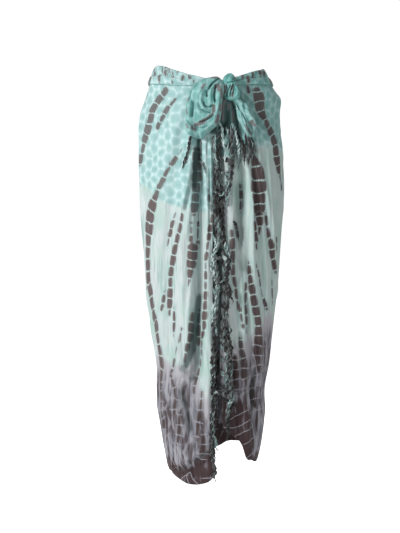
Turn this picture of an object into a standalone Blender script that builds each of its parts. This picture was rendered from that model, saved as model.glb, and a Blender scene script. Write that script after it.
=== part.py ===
"""A sarong wound once round the hips and tied in a half bow at the front.

It is one rectangle of thin tie-dyed rayon with a knotted fringe along both short ends. The upper
edge is rolled down outside the cloth, its two corners are tied, and the short ends hang side by
side below the knot. Metres, +Z up, the front faces -Y. The origin is in the middle of the waist,
where the wearer's hips hold the cloth.
"""

import math

import bmesh
import bpy
import numpy as np
from mathutils import Vector

# The cloth and the clearances between its pieces.
WALL = 0.0016
SEAM = 0.0004
SIDE_GAP = 0.45  # degrees left open at each side seam
SIDE_CALM = 14.0  # degrees either side of it where the folds die away
ROLL_CLEARANCE = 0.0009
ROLL_THICKNESS = 0.0068
GIRTH_RADIUS = 0.150  # turns an angle round the hips into a distance along the cloth

# Angles are in degrees round the body: 0 at the front, -90 at the left of a viewer, 180 behind.
SIDE_SEAM = 92.0

# The grid of the wound cloth. Its columns fan out from the knot as the folds do.
ROWS = 27
LEFT_COLUMNS = 24
RIGHT_COLUMNS = 22
BACK_COLUMNS = 18
CROWDING_LOW = 1.10
CROWDING_TOP = 1.90
FAN_HEIGHT = 0.60

# Level sections of the wound cloth, from the hem up.
SECTION_COLUMNS = ("z", "half_width", "front_depth", "back_depth", "shift")
SECTIONS = (
    (-1.060, 0.104, 0.098, 0.092, 0.004),
    (-0.980, 0.116, 0.101, 0.094, 0.003),
    (-0.913, 0.1285, 0.103, 0.096, 0.003),
    (-0.852, 0.1345, 0.104, 0.098, 0.001),
    (-0.790, 0.1350, 0.105, 0.099, -0.001),
    (-0.728, 0.1410, 0.106, 0.100, 0.004),
    (-0.667, 0.1500, 0.108, 0.102, 0.002),
    (-0.605, 0.1577, 0.110, 0.104, 0.001),
    (-0.544, 0.1650, 0.111, 0.107, 0.001),
    (-0.451, 0.1730, 0.111, 0.112, 0.000),
    (-0.390, 0.1770, 0.111, 0.116, 0.000),
    (-0.300, 0.1825, 0.110, 0.121, 0.001),
    (-0.174, 0.1820, 0.106, 0.124, -0.002),
    (-0.085, 0.1750, 0.101, 0.117, -0.001),
    (-0.050, 0.1665, 0.098, 0.110, 0.000),
    (-0.010, 0.1570, 0.095, 0.102, 0.000),
    (0.045, 0.1460, 0.091, 0.094, 0.000),
)

# Where the two fringed ends hang, either side of the front opening.
OPENING_COLUMNS = ("z", "left_x", "right_x")
OPENING = (
    (-1.060, 0.0100, 0.0450),
    (-0.980, 0.0080, 0.0400),
    (-0.900, 0.0030, 0.0340),
    (-0.840, 0.0000, 0.0260),
    (-0.750, 0.0000, 0.0215),
    (-0.660, 0.0020, 0.0225),
    (-0.530, 0.0040, 0.0265),
    (-0.420, 0.0040, 0.0255),
    (-0.340, 0.0040, 0.0200),
    (-0.260, 0.0045, 0.0190),
    (-0.190, 0.0060, 0.0192),
    (-0.150, 0.0110, 0.0170),
    (-0.060, 0.0245, 0.0265),
    (0.045, 0.0360, 0.0380),
)

# The rolled upper edge and the hem, all the way round.
WAIST_COLUMNS = ("angle", "top_z", "roll_height")
WAIST = (
    (-180, 0.006, 0.034),
    (-120, 0.016, 0.036),
    (-90, 0.029, 0.042),
    (-68, 0.033, 0.050),
    (-48, 0.029, 0.052),
    (-35, 0.017, 0.045),
    (-25, 0.004, 0.036),
    (-15, -0.004, 0.029),
    (-5, -0.010, 0.023),
    (8, -0.012, 0.020),
    (27, -0.006, 0.022),
    (36, 0.009, 0.028),
    (50, 0.021, 0.040),
    (68, 0.026, 0.044),
    (90, 0.024, 0.040),
    (130, 0.014, 0.036),
    (180, 0.006, 0.034),
)
HEM_COLUMNS = ("angle", "left_end_z", "right_end_z")
HEM = (
    (-180, -0.938, -0.938),
    (-130, -0.948, -0.948),
    (-92, -0.968, -0.968),
    (-72, -0.990, -0.990),
    (-52, -1.008, -1.008),
    (-36, -1.020, -1.020),
    (-16, -1.018, -1.018),
    (-4, -1.008, -0.880),
    (6, -0.984, -0.868),
    (13, -0.980, -0.876),
    (24, -0.975, -0.902),
    (34, -0.970, -0.920),
    (44, -0.965, -0.948),
    (58, -0.960, -0.963),
    (72, -0.955, -0.958),
    (92, -0.932, -0.932),
    (140, -0.932, -0.932),
    (180, -0.938, -0.938),
)

# Folds of the wound cloth. Each runs from a top point to a low point, bows to the right by a
# distance, and is raised (+) or sunk (-) by its depth between a left and a right half width.
# Its width at the top is a share of that at the low end.
FOLD_COLUMNS = (
    "angle_top", "z_top", "angle_low", "z_low", "bow", "left", "right", "top_share", "depth"
)
FOLDS = (
    # The deep pleat beside the left end and the ridge that stands before it.
    (-8.0, -0.090, -12.5, -0.790, 0.004, 0.040, 0.010, 0.45, -0.021),
    (-1.5, -0.120, -4.0, -1.060, 0.000, 0.020, 0.018, 0.60, 0.006),
    (-2.0, -0.130, -1.0, -0.440, 0.000, 0.005, 0.006, 0.80, -0.004),
    # Soft hanging folds of the left front.
    (-12.0, -0.085, -26.0, -0.620, -0.012, 0.022, 0.020, 0.40, 0.006),
    (-16.0, -0.070, -46.0, -0.760, -0.020, 0.026, 0.030, 0.40, -0.006),
    (-20.0, -0.055, -66.0, -0.900, -0.030, 0.030, 0.026, 0.35, 0.005),
    (-26.0, -0.045, -88.0, -0.560, -0.030, 0.022, 0.026, 0.40, -0.005),
    (-38.0, -0.600, -34.0, -1.050, 0.000, 0.020, 0.024, 0.70, 0.005),
    (-30.0, -0.640, -25.0, -1.050, 0.000, 0.012, 0.014, 0.70, -0.004),
    # The pocket that ends the deep pleat, and the tuck across the left end near the hem.
    (-13.0, -0.745, -32.0, -0.785, 0.000, 0.006, 0.022, 1.00, -0.006),
    (-32.0, -0.770, -24.0, -0.905, 0.002, 0.006, 0.024, 1.00, -0.007),
    (3.0, -0.945, -44.0, -0.985, 0.004, 0.030, 0.006, 1.00, 0.006),
    (2.0, -0.958, -46.0, -1.002, 0.004, 0.006, 0.026, 1.00, -0.005),
    # Folds of the right front, fanning out from the knot.
    (22.0, -0.060, 27.0, -0.470, 0.000, 0.028, 0.008, 0.50, -0.011),
    (13.0, -0.120, 16.0, -0.760, 0.000, 0.018, 0.022, 0.60, 0.007),
    (19.0, -0.110, 19.0, -0.420, 0.000, 0.006, 0.007, 0.80, -0.004),
    (27.0, -0.080, 42.0, -0.540, -0.006, 0.016, 0.020, 0.45, 0.007),
    (30.0, -0.060, 62.0, -0.640, -0.014, 0.022, 0.018, 0.40, -0.006),
    (34.0, -0.060, 84.0, -0.560, -0.020, 0.020, 0.026, 0.40, 0.005),
    (24.0, -0.480, 46.0, -0.960, -0.004, 0.016, 0.018, 0.60, 0.006),
    (30.0, -0.520, 60.0, -0.940, -0.004, 0.016, 0.020, 0.60, -0.006),
    (18.0, -0.640, 30.0, -0.940, 0.000, 0.012, 0.012, 0.70, -0.005),
    (44.0, -0.560, 76.0, -0.930, 0.000, 0.018, 0.020, 0.60, 0.005),
    # The pull of the knot across the right hip, and the fold that stands out at its side.
    (22.0, -0.030, 44.0, -0.150, -0.008, 0.010, 0.007, 0.60, 0.006),
    (24.0, -0.052, 40.0, -0.170, -0.006, 0.008, 0.013, 0.60, -0.006),
    (82.0, -0.034, 84.0, -0.150, 0.000, 0.030, 0.034, 1.00, 0.005),
    # The sides and the back, which hang in long soft folds.
    (-99.0, -0.060, -101.0, -0.900, 0.000, 0.020, 0.022, 0.60, -0.003),
    (-108.0, -0.050, -114.0, -0.940, 0.006, 0.028, 0.024, 0.60, 0.006),
    (-124.0, -0.060, -130.0, -0.940, 0.008, 0.024, 0.022, 0.60, -0.006),
    (-140.0, -0.070, -146.0, -0.940, 0.000, 0.024, 0.024, 0.50, 0.007),
    (-156.0, -0.050, -160.0, -0.940, 0.006, 0.022, 0.022, 0.60, -0.007),
    (-170.0, -0.080, -172.0, -0.940, 0.000, 0.022, 0.026, 0.50, 0.006),
    (176.0, -0.050, 178.0, -0.930, 0.000, 0.020, 0.022, 0.60, -0.006),
    (162.0, -0.090, 160.0, -0.930, -0.006, 0.024, 0.022, 0.50, 0.007),
    (148.0, -0.050, 142.0, -0.930, -0.006, 0.022, 0.022, 0.60, -0.006),
    (132.0, -0.060, 124.0, -0.930, -0.006, 0.026, 0.022, 0.50, 0.006),
    (116.0, -0.050, 108.0, -0.930, 0.000, 0.022, 0.024, 0.60, -0.005),
    (102.0, -0.110, 97.0, -0.930, 0.000, 0.020, 0.024, 0.60, 0.004),
)


def column(table, names, name):
    """One named column of a table as numbers."""
    return np.array([row[names.index(name)] for row in table], float)


def through(table, names, name, at):
    """A named column read as a smooth curve at one or more places of the first column."""
    xs = column(table, names, names[0])
    ys = column(table, names, name)
    slopes = np.gradient(ys, xs)
    at = np.clip(np.asarray(at, float), xs[0], xs[-1])
    i = np.clip(np.searchsorted(xs, at) - 1, 0, len(xs) - 2)
    gap = xs[i + 1] - xs[i]
    t = (at - xs[i]) / gap
    start = (1 + 2 * t) * (1 - t) ** 2 * ys[i] + t * (1 - t) ** 2 * gap * slopes[i]
    end = t * t * (3 - 2 * t) * ys[i + 1] - t * t * (1 - t) * gap * slopes[i + 1]
    return start + end


def ease(x):
    """From 0 to 1, level at both ends."""
    x = np.clip(x, 0.0, 1.0)
    return x * x * (3 - 2 * x)


def crease(across, along, left, right, fade=0.14):
    """A soft trough or ridge: 1 on its line, 0 past its half widths and at both ends."""
    width = np.where(across < 0, left, right)
    side = 0.5 + 0.5 * np.cos(math.pi * np.clip(across / width, -1, 1))
    return side * ease(along / fade) * ease((1 - along) / fade)


def from_line(x, y, start, end, bow):
    """Share of the way along a line, and distance to the right of it as it bows."""
    dx = end[0] - start[0]
    dy = end[1] - start[1]
    long = math.hypot(dx, dy)
    along = ((x - start[0]) * dx + (y - start[1]) * dy) / long**2
    across = ((y - start[1]) * dx - (x - start[0]) * dy) / long
    inside = np.clip(along, 0, 1)
    return along, across - bow * 4 * inside * (1 - inside)


def girth(angle):
    return np.radians(angle) * GIRTH_RADIUS


def fold_height(angle, z):
    """How far the folds move the cloth out from its plain section."""
    height = np.zeros(np.broadcast(angle, z).shape)
    for row in FOLDS:
        fold = dict(zip(FOLD_COLUMNS, row))
        start = (girth(fold["angle_top"]), fold["z_top"])
        end = (girth(fold["angle_low"]), fold["z_low"])
        along, across = from_line(girth(angle), z, start, end, fold["bow"])
        spread = fold["top_share"] + (1 - fold["top_share"]) * np.clip(along, 0, 1)
        left = fold["left"] * spread
        right = fold["right"] * spread
        height = height + fold["depth"] * crease(across, along, left, right)
    return height * ease(np.abs(np.abs(angle) - SIDE_SEAM) / SIDE_CALM)


def cloth(angle, z, out=0.0):
    """Points on the outer face of the wound cloth, moved out by a distance."""
    half_width = through(SECTIONS, SECTION_COLUMNS, "half_width", z)
    front = through(SECTIONS, SECTION_COLUMNS, "front_depth", z)
    back = through(SECTIONS, SECTION_COLUMNS, "back_depth", z)
    shift = through(SECTIONS, SECTION_COLUMNS, "shift", z)
    turn = np.radians(angle)
    depth = np.where(np.cos(turn) > 0, front, back)
    out_x = np.sin(turn) / half_width
    out_y = -np.cos(turn) / depth
    long = np.hypot(out_x, out_y)
    move = fold_height(angle, z) + out
    x = shift + half_width * np.sin(turn) + move * out_x / long
    y = -depth * np.cos(turn) + move * out_y / long
    return np.stack([x, y, np.broadcast_to(z, x.shape)], axis=-1)


def angle_at(x, z):
    """The angle of the front of the cloth that shows at x."""
    half_width = through(SECTIONS, SECTION_COLUMNS, "half_width", z)
    shift = through(SECTIONS, SECTION_COLUMNS, "shift", z)
    return np.degrees(np.arcsin(np.clip((x - shift) / half_width, -1, 1)))


def on_front(x, z, out=0.0):
    """A point before the front of the cloth, at x and z and out from it."""
    return cloth(angle_at(np.asarray(x, float), z), np.asarray(z, float), out)


def edge_angle(z, side):
    """The angle of the left or the right fringed end at a height."""
    return angle_at(through(OPENING, OPENING_COLUMNS, side, z), z)


def waist_top(angle):
    return through(WAIST, WAIST_COLUMNS, "top_z", angle)


def finished(name, mesh, colour, roughness):
    """An object of its own for one piece, with its own cloth material."""
    material = bpy.data.materials.new(name)
    material.use_nodes = True
    shader = material.node_tree.nodes["Principled BSDF"]
    shader.inputs["Base Color"].default_value = (*colour, 1.0)
    shader.inputs["Roughness"].default_value = roughness
    shader.inputs["Metallic"].default_value = 0.0
    mesh.materials.append(material)
    mesh.shade_smooth()
    piece = bpy.data.objects.new(name, mesh)
    pieces.objects.link(piece)
    return piece


def mesh_of(name, bm):
    """The finished bmesh as a mesh, with its faces pointing out."""
    bmesh.ops.recalc_face_normals(bm, faces=bm.faces)
    mesh = bpy.data.meshes.new(name)
    bm.to_mesh(mesh)
    bm.free()
    return mesh


def thickened(piece, thickness, offset):
    """Gives an open sheet its wall."""
    wall = piece.modifiers.new("wall", "SOLIDIFY")
    wall.thickness = thickness
    wall.offset = offset
    wall.use_even_offset = False
    return piece


def sheet(name, columns, rows, place, colour, thickness=WALL, offset=-1.0):
    """A grid of cloth laid where place(u, v) says, u across and v down, then given its wall."""
    bm = bmesh.new()
    bmesh.ops.create_grid(bm, x_segments=columns, y_segments=rows, size=1.0)
    across = np.array([(v.co.x + 1) / 2 for v in bm.verts])
    down = np.array([(1 - v.co.y) / 2 for v in bm.verts])
    for vertex, point in zip(bm.verts, place(across, down)):
        vertex.co = point
    mesh = bpy.data.meshes.new(name)
    bm.to_mesh(mesh)
    bm.free()
    return thickened(finished(name, mesh, colour, 0.75), thickness, offset)


def loft(bm, rings, closed_first, closed_last):
    """Faces between closed rings of points, with a cap on either end where asked."""
    made = [[bm.verts.new(point) for point in ring] for ring in rings]
    count = len(made[0])
    for near, far in zip(made, made[1:]):
        for i in range(count):
            j = (i + 1) % count
            bm.faces.new((near[i], near[j], far[j], far[i]))
    if closed_first:
        bm.faces.new(list(reversed(made[0])))
    if closed_last:
        bm.faces.new(made[-1])
    return made


# The wound cloth: three stretches of one rectangle, parted at the sides.

TEAL = (0.36, 0.60, 0.58)
MINT = (0.62, 0.74, 0.72)
GREY = (0.34, 0.33, 0.38)
YARN = (0.20, 0.18, 0.18)


def row_share(down):
    """Rows lie closer together at the waist."""
    return down * (0.55 + 0.45 * down)


def front_angle(side, share, z):
    """The angle of a column of a front stretch, from its fringed end at 0 to its seam at 1."""
    towards = -1 if side == "left_x" else 1
    seam = towards * (SIDE_SEAM - SIDE_GAP)
    fan = ease((np.asarray(z, float) + FAN_HEIGHT) / FAN_HEIGHT)
    share = np.asarray(share, float) ** (CROWDING_LOW + (CROWDING_TOP - CROWDING_LOW) * fan)
    return edge_angle(z, side) * (1 - share) + seam * share


def back_angle(share):
    """The angle of a column of the back, from the left seam at 0 to the right seam at 1."""
    angle = -SIDE_SEAM - (360 - 2 * SIDE_SEAM) * np.asarray(share, float)
    return np.where(angle < -180, angle + 360, angle)


def front_stretch(name, side, columns):
    """From a fringed end at the front to a side seam."""
    hem = side.replace("_x", "_end_z")

    def place(across, down):
        share = 1 - across if side == "left_x" else across
        nominal = front_angle(side, share, -0.5)
        top = waist_top(nominal) - 0.002
        z = top + (through(HEM, HEM_COLUMNS, hem, nominal) - top) * row_share(down)
        return cloth(front_angle(side, share, z), z)

    return sheet(name, columns, ROWS, place, MINT)


def back_stretch(name):
    """From the left seam round the back to the right seam."""

    def place(across, down):
        angle = back_angle(1 - across)
        top = waist_top(angle) - 0.002
        low = through(HEM, HEM_COLUMNS, "left_end_z", angle)
        return cloth(angle, top + (low - top) * row_share(down))

    return sheet(name, BACK_COLUMNS, ROWS, place, MINT)


# The rolled upper edge: two rounds of cloth, the lower one standing out further. It runs from
# the left of the knot, round the back, to the right of the knot.

ROLL_PROFILE = (  # share of the thickness outwards, share of the height down
    (0.00, 0.05), (0.45, 0.00), (0.90, 0.14), (0.72, 0.42), (1.05, 0.56), (1.32, 0.76),
    (0.95, 0.98), (0.00, 0.95), (0.00, 0.50),
)
ROLL_FIRST_LEFT = 3  # the first column of each front stretch that the roll covers
ROLL_FIRST_RIGHT = 3


def roll_ring(place_angle, waist_angle, fullness):
    """A section of the roll. place_angle gives the angle of its column at a height."""
    top = waist_top(waist_angle)
    height = through(WAIST, WAIST_COLUMNS, "roll_height", waist_angle)
    ring = []
    for outward, drop in ROLL_PROFILE:
        z = top - height * drop
        out = ROLL_CLEARANCE + ROLL_THICKNESS * outward * fullness
        ring.append(Vector(cloth(place_angle(z), z, out)))
    return ring


def waist_roll():
    """Sections on the columns of the cloth beneath, thinner towards the knot."""
    rings = []
    for i in range(ROLL_FIRST_LEFT, LEFT_COLUMNS):
        share = i / LEFT_COLUMNS
        nominal = front_angle("left_x", share, -0.5)
        fullness = min(1.0, 0.55 + 0.12 * (i - ROLL_FIRST_LEFT))
        rings.append(roll_ring(lambda z, t=share: front_angle("left_x", t, z), nominal, fullness))
    for i in range(BACK_COLUMNS + 1):
        angle = back_angle(i / BACK_COLUMNS)
        rings.append(roll_ring(lambda z, a=angle: a, angle, 1.0))
    for i in range(RIGHT_COLUMNS - 1, ROLL_FIRST_RIGHT - 1, -1):
        share = i / RIGHT_COLUMNS
        nominal = front_angle("right_x", share, -0.5)
        fullness = min(1.0, 0.55 + 0.12 * (i - ROLL_FIRST_RIGHT))
        rings.append(roll_ring(lambda z, t=share: front_angle("right_x", t, z), nominal, fullness))
    bm = bmesh.new()
    loft(bm, rings, True, True)
    return finished("waist_roll", mesh_of("waist_roll", bm), TEAL, 0.75)


# The knot: a bundle of gathered cloth wrapped once round itself.

KNOT_CENTRE = (0.0500, -0.0150)
KNOT_HALF = (0.0185, 0.0360, 0.0165)  # across, up and out
KNOT_OUT = 0.0236
KNOT_SEGMENTS = 20
KNOT_RINGS = 14
KNOT_GATHERS = 6
KNOT_GATHER_DEPTH = 0.075
KNOT_LEAN = math.radians(18)


def knot():
    """A ball drawn out up and down, leaning, with gathers winding round it."""
    centre = Vector(on_front(KNOT_CENTRE[0], KNOT_CENTRE[1], KNOT_OUT))
    bm = bmesh.new()
    bmesh.ops.create_uvsphere(bm, u_segments=KNOT_SEGMENTS, v_segments=KNOT_RINGS, radius=1.0)
    for vertex in bm.verts:
        round_it = math.atan2(vertex.co.y, vertex.co.x)
        gathers = math.cos(KNOT_GATHERS * round_it + 2.4 * vertex.co.z)
        waist = 1.0 - 0.16 * math.exp(-((vertex.co.z + 0.15) / 0.30) ** 2)
        swell = waist * (1.0 + KNOT_GATHER_DEPTH * gathers * (1 - vertex.co.z**2))
        x = vertex.co.x * swell * KNOT_HALF[0]
        y = vertex.co.y * swell * KNOT_HALF[2]
        z = vertex.co.z * KNOT_HALF[1]
        leaning_x = x * math.cos(KNOT_LEAN) - z * math.sin(KNOT_LEAN)
        leaning_z = x * math.sin(KNOT_LEAN) + z * math.cos(KNOT_LEAN)
        vertex.co = centre + Vector((leaning_x, y, leaning_z))
    return finished("knot", mesh_of("knot", bm), TEAL, 0.75)


# The loop of the half bow: a puffed pouch of cloth, its hollow filled with the gathers inside.

LOOP_CENTRE = (-0.0155, -0.0780)
LOOP_PUFF = 0.030
LOOP_CLEARANCE = 0.0045
LOOP_HOLLOW = 0.015
LOOP_CREST = 0.72  # share of the radius where the rim stands highest
LOOP_SECTORS = 34
LOOP_RADII = (1.0, 0.985, 0.94, 0.87, 0.78, 0.68, 0.57, 0.45, 0.32, 0.18)
# Its outline: the distance from the middle at each turn in degrees, clockwise from straight up.
LOOP_OUTLINE_COLUMNS = ("turn", "radius")
LOOP_OUTLINE = (
    (-180, 0.0790), (-160, 0.0790), (-144, 0.0715), (-130, 0.0590), (-105, 0.0445),
    (-70, 0.0400), (-40, 0.0415), (-20, 0.0490), (0, 0.0640), (15, 0.0810), (27, 0.0920),
    (38, 0.0780), (58, 0.0520), (82, 0.0435), (106, 0.0440), (137, 0.0580), (160, 0.0640),
    (180, 0.0790),
)
LOOP_RIDGE_COLUMNS = ("x0", "z0", "x1", "z1", "bow", "width", "height")
LOOP_RIDGES = (
    (0.030, 0.066, 0.034, -0.034, 0.000, 0.0110, 0.007),
    (0.026, 0.068, 0.012, -0.020, 0.005, 0.0080, 0.010),
    (0.012, 0.064, -0.010, -0.004, -0.004, 0.0070, 0.008),
    (0.022, -0.006, -0.016, -0.016, 0.005, 0.0080, 0.009),
    (0.026, -0.022, -0.024, -0.040, 0.008, 0.0090, 0.006),
    (0.022, 0.040, 0.020, -0.008, 0.001, 0.0060, -0.010),
    (-0.016, 0.020, -0.024, -0.018, 0.004, 0.0080, -0.006),
    (0.004, 0.040, 0.000, 0.006, 0.000, 0.0060, -0.008),
)


def loop_height(x, z, share):
    """How far the pouch stands out: up from its outline to the crest, then into the hollow."""
    outer = np.clip((share - LOOP_CREST) / (1 - LOOP_CREST), 0, 1)
    inner = np.clip((LOOP_CREST - share) / LOOP_CREST, 0, 1)
    height = LOOP_PUFF * np.sqrt(1 - outer**2 * 0.995) - LOOP_HOLLOW * ease(inner * 1.25)
    for row in LOOP_RIDGES:
        ridge = dict(zip(LOOP_RIDGE_COLUMNS, row))
        start = (ridge["x0"], ridge["z0"])
        end = (ridge["x1"], ridge["z1"])
        along, across = from_line(x, z, start, end, ridge["bow"])
        width = ridge["width"]
        height = height + ridge["height"] * crease(across, along, width, width, 0.25)
    return height


def loop_point(turn, share):
    """A point of the pouch, by its turn in degrees and its share of the radius."""
    radius = share * through(LOOP_OUTLINE, LOOP_OUTLINE_COLUMNS, "radius", turn)
    x = radius * math.sin(math.radians(turn))
    z = radius * math.cos(math.radians(turn))
    height = loop_height(x, z, share)
    at_z = LOOP_CENTRE[1] + z
    over_roll = 0.0115 * ease((at_z + 0.066) / 0.030)
    return on_front(LOOP_CENTRE[0] + x, at_z, WALL + LOOP_CLEARANCE + over_roll + height)


def bow_loop():
    """Rings of the pouch from its outline to its middle, with a wall of cloth behind them."""
    turns = np.linspace(-180, 180, LOOP_SECTORS, endpoint=False)
    rings = [[Vector(loop_point(turn, share)) for turn in turns] for share in LOOP_RADII]
    bm = bmesh.new()
    made = loft(bm, rings, False, False)
    middle = bm.verts.new(Vector(loop_point(0.0, 0.0)))
    for i, corner in enumerate(made[-1]):
        bm.faces.new((corner, made[-1][(i + 1) % LOOP_SECTORS], middle))
    piece = finished("bow_loop", mesh_of("bow_loop", bm), TEAL, 0.75)
    return thickened(piece, 0.0018, -1.0)


# The two tied corners: fans of pleated cloth that hang from the knot.

TAIL_COLUMNS = ("z", "middle_x", "half_width", "out", "pleat")
RIGHT_TAIL = (
    (-0.140, 0.0935, 0.0125, 0.0150, 0.0026),
    (-0.122, 0.0895, 0.0180, 0.0170, 0.0038),
    (-0.100, 0.0830, 0.0185, 0.0195, 0.0036),
    (-0.078, 0.0750, 0.0140, 0.0220, 0.0022),
    (-0.0500, 0.0655, 0.0080, 0.0240, 0.0008),
)
MIDDLE_TAIL = (
    (-0.122, 0.0405, 0.0130, 0.0100, 0.0022),
    (-0.100, 0.0430, 0.0110, 0.0120, 0.0020),
    (-0.076, 0.0455, 0.0095, 0.0160, 0.0014),
    (-0.0492, 0.0475, 0.0070, 0.0200, 0.0008),
)


def tail(name, table, pleats, columns, rows, colour):
    """A corner that spreads below the knot in upright pleats."""

    def place(across, down):
        z = table[-1][0] + (table[0][0] - table[-1][0]) * down
        middle = through(table, TAIL_COLUMNS, "middle_x", z)
        half_width = through(table, TAIL_COLUMNS, "half_width", z)
        out = through(table, TAIL_COLUMNS, "out", z)
        pleat = through(table, TAIL_COLUMNS, "pleat", z)
        wave = np.cos(2 * math.pi * pleats * across)
        return on_front(middle + half_width * (2 * across - 1), z, out + pleat * wave)

    return sheet(name, columns, rows, place, colour, WALL, 0.0)


# The fringe: knotted tassels of yarn that leave a narrow strip of selvedge and hang down.

STRIP_WIDTH = 0.0056
STRIP_CLEARANCE = 0.0008
ROOT_HEIGHT = 0.0060
# Each tassel drifts out as it hangs, so that it lies over the next one below.
TASSEL_COLUMNS = ("down", "out", "aside", "radius")
TASSEL = (
    (0.007, 0.0034, 0.04, 0.0023),
    (0.020, 0.0060, 0.15, 0.0024),
    (0.033, 0.0088, 0.30, 0.0031),
    (0.044, 0.0112, 0.42, 0.0022),
    (0.066, 0.0156, 0.75, 0.0029),
    (0.090, 0.0196, 1.00, 0.0010),
)


def strand(bm, root, path, root_side, radii):
    """Draws a four-sided strand out of a face of its strip, along a path of points."""
    level = Vector((1.0, 0.0, 0.0))
    face = root
    centre = face.calc_center_median()
    heading = (path[0] - centre).normalized()
    side = root_side
    for i, (point, radius) in enumerate(zip(path, radii)):
        ahead = path[i + 1] if i + 1 < len(path) else point + (point - path[i - 1])
        next_heading = (ahead - centre).normalized()
        lift = heading.cross(side)
        next_lift = next_heading.cross(level).normalized()
        signs = []
        for vertex in face.verts:
            off = vertex.co - centre
            signs.append((1 if off.dot(side) > 0 else -1, 1 if off.dot(lift) > 0 else -1))
        made = bmesh.ops.extrude_discrete_faces(bm, faces=[face])
        face = made["faces"][0]
        for vertex, (to_side, to_lift) in zip(face.verts, signs):
            vertex.co = point + level * to_side * radius + next_lift * to_lift * radius
        centre = point
        heading = next_heading
        side = level


def across_front(x, z):
    """The direction along the front of the cloth at x and z, to the right."""
    step = 0.001
    return (Vector(on_front(x + step, z)) - Vector(on_front(x - step, z))).normalized()


TASSEL_SPACING = 0.033
FRINGE_COLUMNS = ("side", "towards", "first_z", "last_z", "asides")
LEFT_FRINGE = ("left_x", 1, -0.180, -0.930, (0.001, -0.004, 0.000, -0.003))
RIGHT_FRINGE = ("right_x", -1, -0.200, -0.820, (0.013, 0.004, 0.009, 0.002, 0.018, 0.006))


def end_fringe(name, fringe):
    """The fringe of one short end, which hangs down beside the opening."""
    side, towards, first_z, last_z, asides = fringe
    count = int((first_z - last_z) / TASSEL_SPACING) + 1
    strip_zs = []
    for i in range(count):
        top = first_z - i * TASSEL_SPACING
        strip_zs += [top, top - ROOT_HEIGHT]
    strip_zs.append(strip_zs[-1] - 0.012)

    def beside_edge(z, across, out):
        edge = on_front(through(OPENING, OPENING_COLUMNS, side, z), z, out)
        return Vector(edge) + Vector((towards * (STRIP_CLEARANCE + STRIP_WIDTH * across), 0, 0))

    rings = []
    for z in strip_zs:
        corners = ((0, -WALL), (1, -WALL), (1, 0.0), (0, 0.0))
        rings.append([beside_edge(z, across, out) for across, out in corners])
    bm = bmesh.new()
    loft(bm, rings, True, True)
    bmesh.ops.recalc_face_normals(bm, faces=bm.faces)
    bm.faces.ensure_lookup_table()
    roots = [bm.faces[8 * i + 2] for i in range(count)]
    for i, root in enumerate(roots):
        root_z = first_z - i * TASSEL_SPACING - ROOT_HEIGHT / 2
        path = []
        for down, out, aside, _ in TASSEL:
            away = Vector((aside * asides[i % len(asides)], 0, 0))
            path.append(beside_edge(root_z - down, 0.5, out) + away)
        radii = [row[TASSEL_COLUMNS.index("radius")] for row in TASSEL]
        strand(bm, root, path, Vector((1, 0, 0)), radii)
    return finished(name, mesh_of(name, bm), YARN, 0.85)


TAIL_CLEARANCE = 0.0009
TAIL_STRAND_COLUMNS = ("down", "swell")
TAIL_STRAND = ((0.10, 0.8), (0.35, 0.9), (0.45, 1.25), (0.60, 0.8), (1.00, 0.5))


def tail_fringe(name, table, strands, length, spread):
    """The fringe below a tied corner: strands from the underside of a strip, fanning a little."""
    low_z, middle_x, half_width, out, _ = table[0]
    segments = 2 * strands + 1
    strip_top = low_z - TAIL_CLEARANCE
    strip_low = strip_top - 0.004
    rings = []
    for i in range(segments + 1):
        x = middle_x + half_width * (2 * i / segments - 1)
        corners = ((strip_top, -WALL), (strip_top, WALL), (strip_low, WALL), (strip_low, -WALL))
        rings.append([Vector(on_front(x, z, out + beyond)) for z, beyond in corners])
    bm = bmesh.new()
    loft(bm, rings, True, True)
    bmesh.ops.recalc_face_normals(bm, faces=bm.faces)
    bm.faces.ensure_lookup_table()
    roots = [bm.faces[4 * (2 * i + 1) + 2] for i in range(strands)]
    radius = 0.42 * half_width / strands
    for i, root in enumerate(roots):
        share = 2 * (2 * i + 1.5) / segments - 1
        own_length = length * (0.86 + 0.14 * math.cos(5.1 * i))
        path = []
        for down, _ in TAIL_STRAND:
            x = middle_x + half_width * share * (1 + spread * down)
            path.append(Vector(on_front(x, strip_low - own_length * down, out)))
        side = across_front(middle_x + half_width * share, strip_low)
        strand(bm, root, path, side, [radius * swell for _, swell in TAIL_STRAND])
    return finished(name, mesh_of(name, bm), YARN, 0.85)


def build():
    front_stretch("left_panel", "left_x", LEFT_COLUMNS)
    front_stretch("right_panel", "right_x", RIGHT_COLUMNS)
    back_stretch("back_panel")
    waist_roll()
    knot()
    bow_loop()
    tail("right_tail", RIGHT_TAIL, 3, 18, 6, TEAL)
    tail("middle_tail", MIDDLE_TAIL, 2, 12, 5, TEAL)
    end_fringe("left_fringe", LEFT_FRINGE)
    end_fringe("right_fringe", RIGHT_FRINGE)
    tail_fringe("right_tail_fringe", RIGHT_TAIL, 7, 0.085, 0.20)
    tail_fringe("middle_tail_fringe", MIDDLE_TAIL, 6, 0.080, 0.25)


for old in list(bpy.data.objects):
    bpy.data.objects.remove(old)
pieces = bpy.data.collections.new("sarong")
bpy.context.scene.collection.children.link(pieces)
build()
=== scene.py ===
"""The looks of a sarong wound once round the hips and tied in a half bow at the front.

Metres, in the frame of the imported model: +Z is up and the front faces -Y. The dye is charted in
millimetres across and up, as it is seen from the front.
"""

import math

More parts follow.
